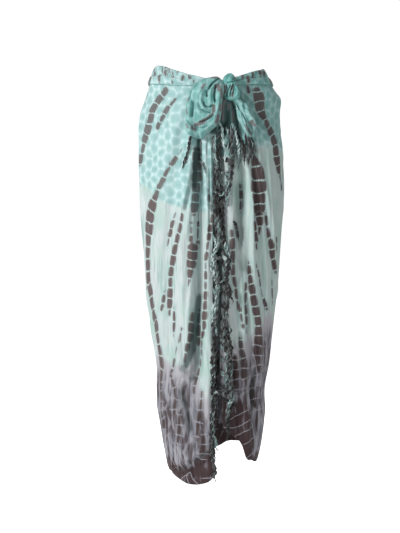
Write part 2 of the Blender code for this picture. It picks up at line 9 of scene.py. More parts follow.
import bmesh
import bpy
import numpy as np
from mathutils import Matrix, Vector


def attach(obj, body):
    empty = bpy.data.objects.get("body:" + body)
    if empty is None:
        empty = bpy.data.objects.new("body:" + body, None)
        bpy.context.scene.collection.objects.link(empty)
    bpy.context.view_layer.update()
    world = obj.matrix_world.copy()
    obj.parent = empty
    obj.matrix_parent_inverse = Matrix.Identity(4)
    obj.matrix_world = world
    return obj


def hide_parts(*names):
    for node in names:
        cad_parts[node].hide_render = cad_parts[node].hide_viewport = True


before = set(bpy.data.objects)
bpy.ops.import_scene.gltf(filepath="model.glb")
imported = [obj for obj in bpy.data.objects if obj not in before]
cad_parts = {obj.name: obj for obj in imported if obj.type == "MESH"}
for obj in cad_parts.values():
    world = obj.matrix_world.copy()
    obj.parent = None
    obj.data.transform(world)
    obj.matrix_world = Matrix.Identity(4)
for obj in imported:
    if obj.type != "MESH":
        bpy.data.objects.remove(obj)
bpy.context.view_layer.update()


# The wound cloth. It is one length of thin rayon that goes once round the hips, and both of its
# short ends hang side by side below the knot. It is tie-dyed by hand, and nothing is sewn.

# Angles are in degrees round the body: 0 at the front, -90 at the left of a viewer, 180 behind.
WALL = 0.0008
GIRTH_RADIUS = 0.150  # turns an angle round the hips into a distance along the cloth
SIDE_SEAM = 92.0  # where the cloth turns from the front to the back
SIDE_CALM = 14.0  # degrees either side of it where the large folds die away
FAN_HEIGHT = 0.60  # how far down the columns of points fan out from the knot
CROWDING_LOW = 1.10  # how they crowd towards the fringed end at the hem, and at the waist
CROWDING_TOP = 1.90
WAIST_TUCK = 0.002  # how far below the top of the roll the cloth inside it ends
HEM_LEVEL = -0.95  # the height where the angles of the hem are read
ROW_CROWDING = 0.20  # how much closer the rows of points lie at the waist than at the hem
ROWS = 205
FRONT_COLUMNS = 145
BACK_COLUMNS = 75

# Level sections of the cloth, from the hem up.
SECTION_COLUMNS = ("z", "half_width", "front_depth", "back_depth", "shift")
SECTIONS = (
    (-1.060, 0.104, 0.098, 0.092, 0.004),
    (-0.980, 0.116, 0.101, 0.094, 0.003),
    (-0.913, 0.1285, 0.103, 0.096, 0.003),
    (-0.852, 0.1345, 0.104, 0.098, 0.001),
    (-0.790, 0.1350, 0.105, 0.099, -0.001),
    (-0.728, 0.1410, 0.106, 0.100, 0.004),
    (-0.667, 0.1500, 0.108, 0.102, 0.002),
    (-0.605, 0.1577, 0.110, 0.104, 0.001),
    (-0.544, 0.1650, 0.111, 0.107, 0.001),
    (-0.451, 0.1730, 0.111, 0.112, 0.000),
    (-0.390, 0.1770, 0.111, 0.116, 0.000),
    (-0.300, 0.1825, 0.110, 0.121, 0.001),
    (-0.174, 0.1820, 0.106, 0.124, -0.002),
    (-0.085, 0.1775, 0.101, 0.117, -0.0035),
    (-0.050, 0.1725, 0.098, 0.110, 0.0036),
    (-0.010, 0.1540, 0.095, 0.102, -0.0020),
    (0.045, 0.1290, 0.091, 0.094, -0.0060),
)

# Where the two fringed ends hang, either side of the front opening.
OPENING_COLUMNS = ("z", "left_x", "right_x")
OPENING = (
    (-1.060, 0.0100, 0.0450),
    (-0.980, 0.0080, 0.0400),
    (-0.900, 0.0030, 0.0340),
    (-0.840, 0.0000, 0.0260),
    (-0.750, 0.0000, 0.0215),
    (-0.660, 0.0020, 0.0225),
    (-0.530, 0.0040, 0.0265),
    (-0.420, 0.0040, 0.0255),
    (-0.340, 0.0040, 0.0200),
    (-0.260, 0.0045, 0.0190),
    (-0.190, 0.0060, 0.0192),
    (-0.150, 0.0110, 0.0170),
    (-0.060, 0.0245, 0.0265),
    (0.045, 0.0360, 0.0380),
)

# The rolled upper edge and the hem, all the way round.
WAIST_COLUMNS = ("angle", "top_z", "roll_height")
WAIST = (
    (-180, 0.0060, 0.034),
    (-120, 0.0140, 0.036),
    (-95, 0.0270, 0.041),
    (-80, 0.0325, 0.046),
    (-68, 0.0325, 0.048),
    (-53, 0.0265, 0.045),
    (-40.5, 0.0178, 0.039),
    (-30, 0.0105, 0.034),
    (-21.5, 0.0043, 0.029),
    (-12, -0.0010, 0.025),
    (-5, -0.0060, 0.022),
    (8, -0.0090, 0.020),
    (22, -0.0040, 0.022),
    (36, 0.0062, 0.027),
    (48.7, 0.0148, 0.034),
    (64, 0.0210, 0.039),
    (80, 0.0262, 0.041),
    (92, 0.0240, 0.040),
    (130, 0.0130, 0.036),
    (180, 0.0060, 0.034),
)
HEM_COLUMNS = ("angle", "left_end_z", "right_end_z")
HEM = (
    (-180, -0.955, -0.955),
    (-130, -0.962, -0.962),
    (-92, -0.978, -0.978),
    (-72, -0.996, -0.996),
    (-52, -1.013, -1.013),
    (-36, -1.024, -1.024),
    (-16, -1.0235, -1.0235),
    (-4, -1.014, -0.880),
    (6, -0.990, -0.868),
    (13, -0.980, -0.876),
    (24, -0.975, -0.900),
    (32, -0.970, -0.913),
    (37, -0.966, -0.928),
    (43, -0.965, -0.955),
    (58, -0.960, -0.969),
    (74, -0.955, -0.973),
    (92, -0.938, -0.942),
    (130, -0.934, -0.936),
    (150, -0.934, -0.934),
    (161, -0.936, -0.936),
    (170, -0.947, -0.947),
    (180, -0.955, -0.955),
)

# The large folds. Each runs from a top point to a low point and bows to the right, and is raised
# (+) or sunk (-) by its depth between a left and a right half width.
FOLD_COLUMNS = (
    "angle_top", "z_top", "angle_low", "z_low", "bow", "left", "right", "top_share", "depth"
)
FOLDS = (
    (-9.0, -0.090, -17.5, -0.800, 0.012, 0.030, 0.009, 0.45, -0.027),
    (-1.5, -0.120, -4.0, -1.060, 0.000, 0.020, 0.018, 0.60, 0.006),
    (-2.0, -0.130, -1.0, -0.440, 0.000, 0.005, 0.006, 0.80, -0.004),
    (-12.0, -0.085, -26.0, -0.620, -0.012, 0.022, 0.020, 0.40, 0.006),
    (-16.0, -0.070, -46.0, -0.760, -0.020, 0.026, 0.030, 0.40, -0.006),
    (-20.0, -0.055, -66.0, -0.900, -0.030, 0.030, 0.026, 0.35, 0.005),
    (-26.0, -0.045, -88.0, -0.560, -0.030, 0.022, 0.026, 0.40, -0.005),
    (-38.0, -0.600, -34.0, -1.050, 0.000, 0.020, 0.024, 0.70, 0.005),
    (-30.0, -0.640, -25.0, -1.050, 0.000, 0.012, 0.014, 0.70, -0.004),
    (-13.0, -0.745, -32.0, -0.785, 0.000, 0.006, 0.022, 1.00, -0.006),
    (-32.0, -0.770, -24.0, -0.905, 0.002, 0.006, 0.024, 1.00, -0.007),
    (3.0, -0.945, -44.0, -0.985, 0.004, 0.030, 0.006, 1.00, 0.006),
    (2.0, -0.958, -46.0, -1.002, 0.004, 0.006, 0.026, 1.00, -0.005),
    (22.0, -0.060, 27.0, -0.470, 0.000, 0.028, 0.008, 0.50, -0.011),
    (13.0, -0.120, 16.0, -0.760, 0.000, 0.018, 0.022, 0.60, 0.007),
    (19.0, -0.110, 19.0, -0.420, 0.000, 0.006, 0.007, 0.80, -0.004),
    (27.0, -0.080, 42.0, -0.540, -0.006, 0.016, 0.020, 0.45, 0.007),
    (30.0, -0.060, 62.0, -0.640, -0.014, 0.022, 0.018, 0.40, -0.006),
    (34.0, -0.060, 84.0, -0.560, -0.020, 0.020, 0.026, 0.40, 0.005),
    (24.0, -0.480, 46.0, -0.960, -0.004, 0.016, 0.018, 0.60, 0.006),
    (30.0, -0.520, 60.0, -0.940, -0.004, 0.016, 0.020, 0.60, -0.006),
    (18.0, -0.640, 30.0, -0.940, 0.000, 0.012, 0.012, 0.70, -0.005),
    (44.0, -0.560, 76.0, -0.930, 0.000, 0.018, 0.020, 0.60, 0.005),
    (22.0, -0.030, 44.0, -0.150, -0.008, 0.010, 0.007, 0.60, 0.006),
    (24.0, -0.052, 40.0, -0.170, -0.006, 0.008, 0.013, 0.60, -0.006),
    (82.0, -0.034, 84.0, -0.150, 0.000, 0.030, 0.034, 1.00, 0.005),
    (-99.0, -0.060, -101.0, -0.900, 0.000, 0.020, 0.022, 0.60, -0.003),
    (-108.0, -0.050, -114.0, -0.940, 0.006, 0.028, 0.024, 0.60, 0.006),
    (-124.0, -0.060, -130.0, -0.940, 0.008, 0.024, 0.022, 0.60, -0.006),
    (-140.0, -0.070, -146.0, -0.940, 0.000, 0.024, 0.024, 0.50, 0.007),
    (-156.0, -0.050, -160.0, -0.940, 0.006, 0.022, 0.022, 0.60, -0.007),
    (-170.0, -0.080, -172.0, -0.940, 0.000, 0.022, 0.026, 0.50, 0.006),
    (176.0, -0.050, 178.0, -0.930, 0.000, 0.020, 0.022, 0.60, -0.006),
    (162.0, -0.090, 160.0, -0.930, -0.006, 0.024, 0.022, 0.50, 0.007),
    (148.0, -0.050, 142.0, -0.930, -0.006, 0.022, 0.022, 0.60, -0.006),
    (132.0, -0.060, 124.0, -0.930, -0.006, 0.026, 0.022, 0.50, 0.006),
    (116.0, -0.050, 108.0, -0.930, 0.000, 0.022, 0.024, 0.60, -0.005),
    (102.0, -0.110, 97.0, -0.930, 0.000, 0.020, 0.024, 0.60, 0.004),
)

# Creases of the front, in millimetres as seen: from a point to a point, how far it bows to the
# right, its left and right half widths, and how far it stands out (+) or is sunk (-).
CREASES = (
    # The left front: the ridge beside the loop, the narrow pleats of the fringed end.
    ((-42, -146), (-64, -430), 0, 16, 9, 8.0),
    ((-56, -140), (-80, -236), 0, 6, 5, -5.0),
    ((-30, -150), (-44, -520), 0, 9, 5, -7.0),
    ((-46, -470), (-70, -760), 0, 14, 9, 5.0),
    ((-70, -260), (-92, -480), 0, 12, 12, -2.5),
    ((-76, -150), (-118, -420), -6, 14, 14, 2.0),
    ((-20, -150), (-22, -330), 0, 5, 4, -3.0),
    ((-11, -150), (-12, -300), 0, 4, 5, -2.5),
    ((-3, -150), (-3, -330), 0, 4, 4, -2.5),
    ((-25, -150), (-20, -470), -3, 2.5, 6, 4.0),
    ((-18, -440), (-40, -800), 4, 2.5, 7, 4.0),
    ((-8, -420), (-14, -760), 0, 8, 8, 1.6),
    # The pinch beside the loop, and the small folds under the roll.
    ((-58, -36), (-106, -56), -3, 3, 4, -7.0),
    ((-62, -44), (-112, -68), -3, 5, 8, 4.0),
    ((-104, -52), (-124, -104), -4, 6, 9, -2.6),
    ((-134, -14), (-44, -14), 2, 5, 4, -4.0),
    ((-104, -24), (-40, -34), 0, 5, 4, -3.6),
    ((-120, -19), (-40, -24), 0, 5, 5, 3.0),
    ((-150, -60), (-166, -170), -4, 9, 12, 2.0),
    ((-128, -120), (-152, -330), -6, 10, 14, -2.0),
    ((-100, -240), (-134, -560), -8, 14, 16, 2.2),
    ((-80, -420), (-104, -700), -2, 10, 12, -2.4),
    ((-62, -440), (-78, -720), 0, 12, 10, 2.6),
    # The pocket in the pleat, with its turned edge, and the tuck that runs down from it.
    ((-38, -752), (-84, -789), -3, 3, 2, 3.2),
    ((-36, -744), (-84, -780), -3, 9, 4, -3.6),
    ((-80, -786), (-54, -905), -4, 4, 8, -4.0),
    ((-88, -786), (-62, -900), -4, 7, 5, 2.4),
    ((-60, -890), (-50, -960), 0, 5, 6, -2.0),
    # The hem of the left end, where the cloth beneath shows past a slanting edge.
    ((-8, -950), (-118, -998), 8, 5, 2.5, 3.6),
    ((-6, -957), (-118, -1004), 8, 3, 7, -3.4),
    ((-96, -800), (-104, -960), 0, 8, 8, -2.2),
    ((-112, -780), (-112, -950), 0, 7, 7, 2.0),
    ((-42, -820), (-38, -960), 0, 6, 6, -2.2),
    ((-30, -830), (-26, -960), 0, 7, 6, 2.2),
    # The right front: the edge that the knot pulls out, with its shade, and the hanging folds.
    ((58, -14), (150, -120), -9, 7, 3.5, 6.5),
    ((66, -34), (140, -130), -8, 3, 8, -5.5),
    ((54, -160), (60, -460), 0, 12, 16, 4.5),
    ((82, -170), (88, -480), 0, 16, 9, -5.5),
    ((102, -150), (104, -470), 0, 8, 7, 3.5),
    ((112, -220), (114, -520), 0, 7, 8, -3.2),
    ((118, -150), (136, -420), -4, 10, 12, 2.6),
    ((134, -170), (150, -480), -6, 8, 9, -1.4),
    ((146, -170), (160, -420), -4, 8, 10, 3.0),
    ((70, -470), (84, -760), 0, 9, 10, -2.6),
    ((60, -480), (66, -760), 0, 8, 8, 2.0),
    ((92, -540), (106, -800), 0, 8, 9, -2.6),
    ((122, -560), (124, -820), 4, 10, 12, 2.6),
    ((108, -700), (98, -900), 0, 6, 8, 3.0),
    ((114, -720), (106, -900), 0, 6, 8, -3.0),
    ((74, -760), (86, -900), 0, 8, 8, 2.2),
    ((44, -740), (54, -860), 0, 8, 8, -2.0),
    ((128, -780), (118, -940), 0, 8, 8, -2.4),
)

# The hanging folds that carry on over the sides: angle and height of each end, half width, depth.
SIDE_FOLDS = (
    (-78, -0.060, -84, -0.900, 0.016, 0.0040),
    (-90, -0.080, -92, -0.930, 0.015, -0.0040),
    (-99, -0.050, -102, -0.930, 0.014, 0.0030),
    (80, -0.180, 82, -0.930, 0.016, -0.0035),
    (90, -0.100, 91, -0.920, 0.015, 0.0040),
    (99, -0.060, 102, -0.930, 0.014, -0.0030),
)


def column(table, names, name):
    """One named column of a table as numbers."""
    return np.array([row[names.index(name)] for row in table], float)


def curve(xs, ys, at):
    """A smooth line through points, level beyond both ends. The xs go up."""
    slopes = np.gradient(ys, xs)
    at = np.clip(np.asarray(at, float), xs[0], xs[-1])
    i = np.clip(np.searchsorted(xs, at) - 1, 0, len(xs) - 2)
    gap = xs[i + 1] - xs[i]
    t = (at - xs[i]) / gap
    start = (1 + 2 * t) * (1 - t) ** 2 * ys[i] + t * (1 - t) ** 2 * gap * slopes[i]
    end = t * t * (3 - 2 * t) * ys[i + 1] - t * t * (1 - t) * gap * slopes[i + 1]
    return start + end


def through(table, names, name, at):
    """A named column read as a smooth curve at places of the first column."""
    return curve(column(table, names, names[0]), column(table, names, name), at)


def ease(x):
    """From 0 to 1, level at both ends."""
    x = np.clip(x, 0.0, 1.0)
    return x * x * (3 - 2 * x)


def crease(across, along, left, right, fade=0.14):
    """A soft trough or ridge: 1 on its line, 0 past its half widths and at both ends."""
    width = np.where(across < 0, left, right)
    side = 0.5 + 0.5 * np.cos(math.pi * np.clip(across / width, -1, 1))
    return side * ease(along / fade) * ease((1 - along) / fade)


def from_line(x, y, start, end, bow):
    """Share of the way along a line, and distance to the right of it as it bows."""
    dx = end[0] - start[0]
    dy = end[1] - start[1]
    long = math.hypot(dx, dy)
    along = ((x - start[0]) * dx + (y - start[1]) * dy) / long**2
    across = ((y - start[1]) * dx - (x - start[0]) * dy) / long
    inside = np.clip(along, 0, 1)
    return along, across - bow * 4 * inside * (1 - inside)


def from_curve(x, z, points):
    """Share of the way along a smooth line through points, and distance to the right of it."""
    ends = np.arange(len(points))
    at = np.linspace(0, ends[-1], 10 * ends[-1] + 1)
    path = np.stack([curve(ends, points[:, 0], at), curve(ends, points[:, 1], at)], axis=-1)
    step = np.diff(path, axis=0)
    away = np.stack([x, z], axis=-1)[..., None, :] - path[:-1]
    share = np.clip((away * step).sum(axis=-1) / (step**2).sum(axis=-1), 0, 1)
    gap = away - share[..., None] * step
    far = np.hypot(gap[..., 0], gap[..., 1])
    far = far * np.where(gap[..., 1] * step[:, 0] < gap[..., 0] * step[:, 1], -1, 1)
    nearest = np.abs(far).argmin(axis=-1)[..., None]
    along = np.take_along_axis(share, nearest, axis=-1) + nearest
    return along[..., 0] / len(step), np.take_along_axis(far, nearest, axis=-1)[..., 0]


def girth(angle):
    """Distance along the cloth from the middle of the front, as on a round body."""
    return np.radians(angle) * GIRTH_RADIUS


def plain_section(angle, z):
    """Half width, depth on this side and sideways shift of the plain section."""
    half_width = through(SECTIONS, SECTION_COLUMNS, "half_width", z)
    front = through(SECTIONS, SECTION_COLUMNS, "front_depth", z)
    back = through(SECTIONS, SECTION_COLUMNS, "back_depth", z)
    shift = through(SECTIONS, SECTION_COLUMNS, "shift", z)
    return half_width, np.where(np.cos(np.radians(angle)) > 0, front, back), shift


def round_from_front(angle, z):
    """Distance along the plain section from the middle of the front, to the right."""
    steps = (np.arange(25) + 0.5) / 25
    turn = np.radians(np.asarray(angle, float))[..., None] * steps
    z = np.broadcast_to(z, np.shape(angle))
    half_width, _, _ = plain_section(0.0, z)
    front = through(SECTIONS, SECTION_COLUMNS, "front_depth", z)
    back = through(SECTIONS, SECTION_COLUMNS, "back_depth", z)
    depth = np.where(np.cos(turn) > 0, front[..., None], back[..., None])
    speed = np.hypot(half_width[..., None] * np.cos(turn), depth * np.sin(turn))
    return speed.mean(axis=-1) * np.radians(angle)


CAMERA = (-0.0282, -4.0, -0.4784)  # from where the charted places are seen
WIDEST_SEEN = 0.985  # of the half width: places charted further out are taken to lie there


def seen_angle(x, z):
    """The angle and height of the point of the front that is seen at x and z, in metres."""
    z_at = np.asarray(z, float)
    x_at = np.asarray(x, float)
    for _ in range(3):
        half_width, depth, shift = plain_section(0.0, z_at)
        sine = np.clip((x_at - shift) / half_width, -WIDEST_SEEN, WIDEST_SEEN)
        nearer = 1 + depth * np.sqrt(1 - sine**2) / CAMERA[1]
        x_at = CAMERA[0] + (x - CAMERA[0]) * nearer
        z_at = CAMERA[2] + (z - CAMERA[2]) * nearer
    return np.degrees(np.arcsin(sine)), z_at


def seen_point(x_mm, z_mm):
    """Distance round from the middle of the front, and height, of a point charted as seen."""
    angle, z = seen_angle(np.float64(x_mm / 1000), np.float64(z_mm / 1000))
    return float(round_from_front(angle, z)), float(z)


def fold_height(angle, z):
    """How far the large folds move the cloth out from its plain section."""
    height = np.zeros(np.broadcast(angle, z).shape)
    for row in FOLDS:
        fold = dict(zip(FOLD_COLUMNS, row))
        start = (girth(fold["angle_top"]), fold["z_top"])
        end = (girth(fold["angle_low"]), fold["z_low"])
        along, across = from_line(girth(angle), z, start, end, fold["bow"])
        spread = fold["top_share"] + (1 - fold["top_share"]) * np.clip(along, 0, 1)
        left = fold["left"] * spread
        right = fold["right"] * spread
        height = height + fold["depth"] * crease(across, along, left, right)
    return height * ease(np.abs(np.abs(angle) - SIDE_SEAM) / SIDE_CALM)


# Small uneven folds all round: angle and height of the top end, length, drift, half width, depth.
SMALL_FOLD_COUNT = 110
small_folds = np.random.default_rng(7)
SMALL_FOLDS = [
    (
        small_folds.uniform(-176, 176),
        small_folds.uniform(-0.75, -0.12),
        small_folds.uniform(0.10, 0.30),
        small_folds.uniform(-0.10, 0.10),
        small_folds.uniform(0.005, 0.011),
        small_folds.uniform(0.0006, 0.0018) * (1 if i % 2 else -1),
    )
    for i in range(SMALL_FOLD_COUNT)
]
BACK_LEAN = 0.3  # share of the lean in front that the ones behind have


def crease_height(angle, z):
    """The creases of the front, the folds over the sides and the small uneven ones."""
    height = np.zeros(np.broadcast(angle, z).shape)
    far = round_from_front(angle, z)
    for (x0, z0), (x1, z1), bow, left, right, depth in CREASES:
        along, across = from_line(far, z, seen_point(x0, z0), seen_point(x1, z1), bow / 1000)
        height = height + depth / 1000 * crease(across, along, left / 1000, right / 1000, 0.2)
    for angle0, z0, angle1, z1, width, depth in SIDE_FOLDS:
        along, across = from_line(girth(angle), z, (girth(angle0), z0), (girth(angle1), z1), 0)
        height = height + depth * crease(across, along, width, width, 0.1)
    for at, z0, long, drift, width, depth in SMALL_FOLDS:
        start = (girth(at), z0)
        lean = 0.35 * math.sin(math.radians(at)) * long * (1 if abs(at) < 90 else BACK_LEAN)
        end = (girth(at) + lean + drift * long, z0 - long)
        along, across = from_line(girth(angle), z, start, end, 0)
        height = height + depth * crease(across, along, width, width, 0.3)
    return height


def cloth(angle, z, out=0.0, creased=False):
    """Points on the outer face of the wound cloth, moved out by a distance."""
    half_width, depth, shift = plain_section(angle, z)
    turn = np.radians(angle)
    out_x = np.sin(turn) / half_width
    out_y = -np.cos(turn) / depth
    long = np.hypot(out_x, out_y)
    move = fold_height(angle, z) + out
    if creased:
        move = move + crease_height(angle, z)
    x = shift + half_width * np.sin(turn) + move * out_x / long
    y = -depth * np.cos(turn) + move * out_y / long
    return np.stack([x, y, np.broadcast_to(z, x.shape)], axis=-1)


def angle_at(x, z):
    """The angle of the front of the cloth that shows at x."""
    half_width, _, shift = plain_section(0.0, z)
    return np.degrees(np.arcsin(np.clip((x - shift) / half_width, -1, 1)))


def on_front(x, z, out=0.0):
    """A point before the front of the cloth, at x and z and out from it."""
    return cloth(angle_at(np.asarray(x, float), z), np.asarray(z, float), out)


def waist_top(angle):
    """The height of the top of the rolled edge."""
    return through(WAIST, WAIST_COLUMNS, "top_z", angle)


def end_angle(side, share, z):
    """The angle of a column from its fringed end at 0, over the side at 1, to the back at 2."""
    towards = -1 if side == "left_x" else 1
    fan = ease((z + FAN_HEIGHT) / FAN_HEIGHT)
    front = np.clip(share, 0, 1) ** (CROWDING_LOW + (CROWDING_TOP - CROWDING_LOW) * fan)
    edge = angle_at(through(OPENING, OPENING_COLUMNS, side, z), z)
    angle = edge * (1 - front) + towards * SIDE_SEAM * front
    return angle + towards * (180 - SIDE_SEAM) * np.clip(share - 1, 0, 1)


# The dye. Each row of spots was tied round a pleat: points in millimetres across, up and half
# its width, as seen from the front, from its top to its low end.
LEFT_ROWS = (
    ((-115, -23, 6), (-138, -56, 8), (-157, -108, 8), (-172, -162, 7), (-180, -215, 5)),
    ((-92, -49, 3), (-115, -77, 5), (-126, -97, 5), (-138, -123, 4)),
    ((-74, -174, 3), (-104, -221, 5), (-138, -287, 7), (-154, -331, 10), (-160, -387, 11),
     (-163, -423, 9), (-161, -500, 8), (-151, -575, 8), (-141, -623, 8), (-128, -705, 6),
     (-124, -782, 4)),
    ((-92, -341, 4), (-108, -398, 4), (-115, -428, 2)),
    ((-72, -344, 4), (-79, -380, 6), (-95, -441, 6), (-105, -500, 7), (-108, -564, 7),
     (-110, -603, 4)),
    ((-96, -582, 3), (-96, -620, 3.5), (-96, -657, 3)),
    ((-121, -539, 2), (-123, -567, 3), (-127, -590, 2)),
    ((-74, -636, 2), (-82, -675, 3), (-94, -716, 2.5), (-102, -749, 3)),
    ((-38, -180, 8), (-38, -246, 9), (-39, -282, 9), (-41, -315, 8), (-45, -344, 4)),
    ((-49, -366, 3), (-52, -414, 3.5)),
    ((-36, -366, 4), (-37, -418, 4)),
    ((-47, -430, 12), (-49, -449, 12), (-52, -480, 8), (-55, -510, 5), (-58, -533, 2)),
    ((-34, -592, 4), (-36, -652, 5.5), (-37, -680, 5), (-46, -698, 2)),
    ((-48, -592, 3), (-50, -616, 4.5), (-53, -659, 5), (-60, -686, 4), (-72, -734, 3)),
    ((-8, -280, 2.5), (2, -355, 4), (-3, -385, 7), (-8, -423, 5), (-12, -462, 3.5),
     (-14, -554, 4), (-16, -610, 6), (-17, -639, 6), (-25, -664, 4), (-28, -713, 3),
     (-32, -739, 3), (-42, -777, 3), (-44, -805, 3)),
    ((-23, -798, 2), (-26, -827, 3), (-29, -849, 5), (-31, -872, 7), (-35, -900, 4),
     (-35, -926, 4)),
    ((-21, -900, 3), (-19, -931, 8), (-22, -959, 8)),
    ((-127, -759, 3), (-124, -816, 3), (-127, -852, 3), (-122, -872, 6), (-122, -890, 6)),
    ((-103, -757, 3), (-90, -825, 5), (-95, -839, 6), (-95, -859, 3)),
    ((-79, -862, 4), (-80, -895, 7), (-83, -918, 6), (-85, -931, 4)),
)
RIGHT_ROWS = (
    ((90, 5, 4), (93, -11, 4), (98, -35, 5)),
    ((120, -31, 12), (124, -59, 12), (129, -85, 9), (142, -110, 6.5), (157, -141, 7),
     (165, -169, 9), (168, -191, 10), (173, -218, 9), (178, -244, 7), (182, -280, 5)),
    ((104, -167, 3), (110, -194, 5.5), (117, -223, 13), (121, -259, 18), (121, -290, 19),
     (123, -326, 16)),
    ((124, -338, 8), (127, -374, 4.5), (127, -398, 2.5)),
    ((110, -343, 4), (113, -377, 6), (117, -403, 6), (118, -431, 5)),
    ((140, -346, 3), (148, -398, 4), (154, -423, 7), (156, -449, 5), (163, -494, 3)),
    ((168, -405, 2.5), (168, -439, 2.5)),
    ((157, -515, 3), (158, -548, 3), (159, -575, 3.5)),
    ((115, -475, 2), (123, -500, 3), (133, -544, 3), (144, -585, 3)),
    ((96, -467, 2), (98, -494, 5), (102, -518, 8), (111, -569, 8), (114, -590, 8),
     (118, -618, 6), (120, -659, 8), (118, -685, 10), (118, -710, 10), (119, -731, 7),
     (120, -749, 3)),
    ((52, -387, 4), (54, -418, 7), (55, -446, 7), (57, -508, 6), (62, -531, 4.5),
     (66, -562, 3), (72, -587, 4.5), (77, -608, 4.5), (81, -634, 3)),
    ((75, -664, 4), (77, -686, 5), (85, -734, 9), (84, -762, 9), (90, -785, 5)),
    ((89, -521, 3), (90, -580, 5), (92, -628, 5), (91, -649, 3)),
    ((79, -269, 3), (80, -300, 3.5), (80, -339, 4)),
    ((60, -716, 8), (63, -750, 9), (66, -790, 7)),
    ((104, -785, 5), (106, -798, 7), (109, -818, 6), (114, -836, 4)),
)

# How far down each bath of dye reaches, in metres round the cloth: teal, mint and grey.
ZONE_COLUMNS = ("angle", "teal", "mint", "grey")
LEFT_ZONES = (
    (-180, -0.290, -0.670, -0.880),
    (-150, -0.262, -0.690, -0.900),
    (-120, -0.300, -0.660, -0.890),
    (-90, -0.272, -0.695, -0.945),
    (-60, -0.282, -0.705, -0.964),
    (-46, -0.308, -0.712, -0.976),
    (-36, -0.322, -0.723, -0.978),
    (-17.5, -0.333, -0.733, -0.958),
    (-13.0, -0.336, -0.770, -0.945),
    (-6.5, -0.340, -0.792, -0.935),
    (10, -0.344, -0.792, -0.930),
)
RIGHT_ZONES = (
    (-4, -0.235, -0.690, -0.800),
    (4, -0.231, -0.688, -0.800),
    (14, -0.205, -0.676, -0.805),
    (29, -0.185, -0.664, -0.815),
    (42, -0.174, -0.640, -0.830),
    (50, -0.173, -0.620, -0.880),
    (58, -0.172, -0.602, -0.935),
    (90, -0.190, -0.600, -0.910),
    (120, -0.240, -0.640, -0.870),
    (150, -0.270, -0.660, -0.890),
    (180, -0.290, -0.670, -0.880),
)
# How many metres each bath takes to fade into the next, and how far it has faded at its border.
ZONE_BLUR = {"teal": (0.030, 0.50), "mint": (0.140, 0.30), "grey": (0.030, 0.50)}

SPOT_PITCH = 0.027  # from one tie of a row to the next
PITCH_SPREAD = 0.14  # how far the pitch of a row may differ from that, as a share of it
ROW_OFFSET = 0.37  # of a pitch, between the first ties of two rows
NO_ROW = -0.05  # the distance inside a row where there is none near
EDGE_WIDENING = 0.6  # power of the cosine by which a row near the side is wider than it looks
MOST_TURNED = 0.5  # the cosine at which that ends

# Rows of the back and sides, in degrees and metres: angle, top and low end, lean and half width.
BACK_ROWS = (
    (-101, -0.060, -0.300, -9, 0.008), (-114, -0.190, -0.610, -7, 0.012),
    (-127, -0.050, -0.250, -9, 0.006), (-136, -0.330, -0.780, -6, 0.009),
    (-146, -0.110, -0.360, -8, 0.007), (-164, -0.050, -0.340, -6, 0.015),
    (-173, -0.400, -0.700, -3, 0.006), (-153, -0.520, -0.880, -3, 0.010),
    (-97, -0.460, -0.830, -5, 0.006), (-122, -0.660, -0.900, -3, 0.007),
    (-142, -0.450, -0.590, -3, 0.004), (-107, -0.340, -0.470, -3, 0.004),
    (103, -0.360, -0.760, 4, 0.007), (110, -0.070, -0.270, 8, 0.007),
    (121, -0.200, -0.560, 8, 0.016), (138, -0.050, -0.230, 8, 0.006),
    (142, -0.330, -0.680, 5, 0.008), (153, -0.090, -0.420, 7, 0.011),
    (171, -0.180, -0.480, 4, 0.008), (163, -0.570, -0.900, 2, 0.009),
    (116, -0.630, -0.870, 3, 0.006), (174, -0.700, -0.900, 2, 0.005),
    (150, -0.470, -0.590, 3, 0.004), (130, -0.600, -0.790, 3, 0.005),
)
# How each narrows to its ends: share of the way down, and share of its half width.
ROW_TAPER = ((1.0, 0.4), (0.8, 0.8), (0.5, 1.0), (0.2, 0.8), (0.0, 0.4))


def charted(rows):
    """Rows of the front as distance round, height and half width in metres, from the low end."""
    made = []
    for row in rows:
        points = []
        for x, z, half in reversed(row):
            angle, _ = seen_angle(np.float64(x / 1000), np.float64(z / 1000))
            turned = max(math.cos(math.radians(float(angle))), MOST_TURNED)
            points.append((*seen_point(x, z), half / 1000 / turned**EDGE_WIDENING))
        made.append(np.array(points))
    return made


def back_rows(towards):
    """The rows of one half of the back, each narrowing to its ends."""
    made = []
    for angle, top, low, lean, half in BACK_ROWS:
        if angle * towards > 0:
            points = []
            for share, width in ROW_TAPER:
                z = top + (low - top) * share
                far = float(round_from_front(np.float64(angle + lean * share), np.float64(z)))
                points.append((far, z, half * width))
            made.append(np.array(points))
    return made


def nearest_row(rows, far, z):
    """Distance inside the side of the nearest row, and distance along that row."""
    best_side = np.full(far.shape, NO_ROW)
    best_along = np.zeros(far.shape)
    for i, row in enumerate(rows):
        zs = row[:, 1]
        at = np.clip(z, zs[0], zs[-1])
        middle = curve(zs, row[:, 0], at)
        step = 0.004
        slope = (curve(zs, row[:, 0], at + step) - curve(zs, row[:, 0], at - step)) / (2 * step)
        turned = 1 / np.sqrt(1 + slope**2)
        across = (far - middle) * turned
        side = curve(zs, row[:, 2], at) - np.hypot(across, z - at)
        path = np.linspace(zs[0], zs[-1], 60)
        pieces = np.hypot(np.diff(path), np.diff(curve(zs, row[:, 0], path)))
        long = np.interp(at, path, np.concatenate([[0], np.cumsum(pieces)]))
        along = long + (z - at) + (far - middle) * slope * turned
        along = along * (1 + PITCH_SPREAD * math.sin(2.4 * i)) + ROW_OFFSET * i * SPOT_PITCH
        nearer = side > best_side
        best_side = np.where(nearer, side, best_side)
        best_along = np.where(nearer, along, best_along)
    return best_side, best_along


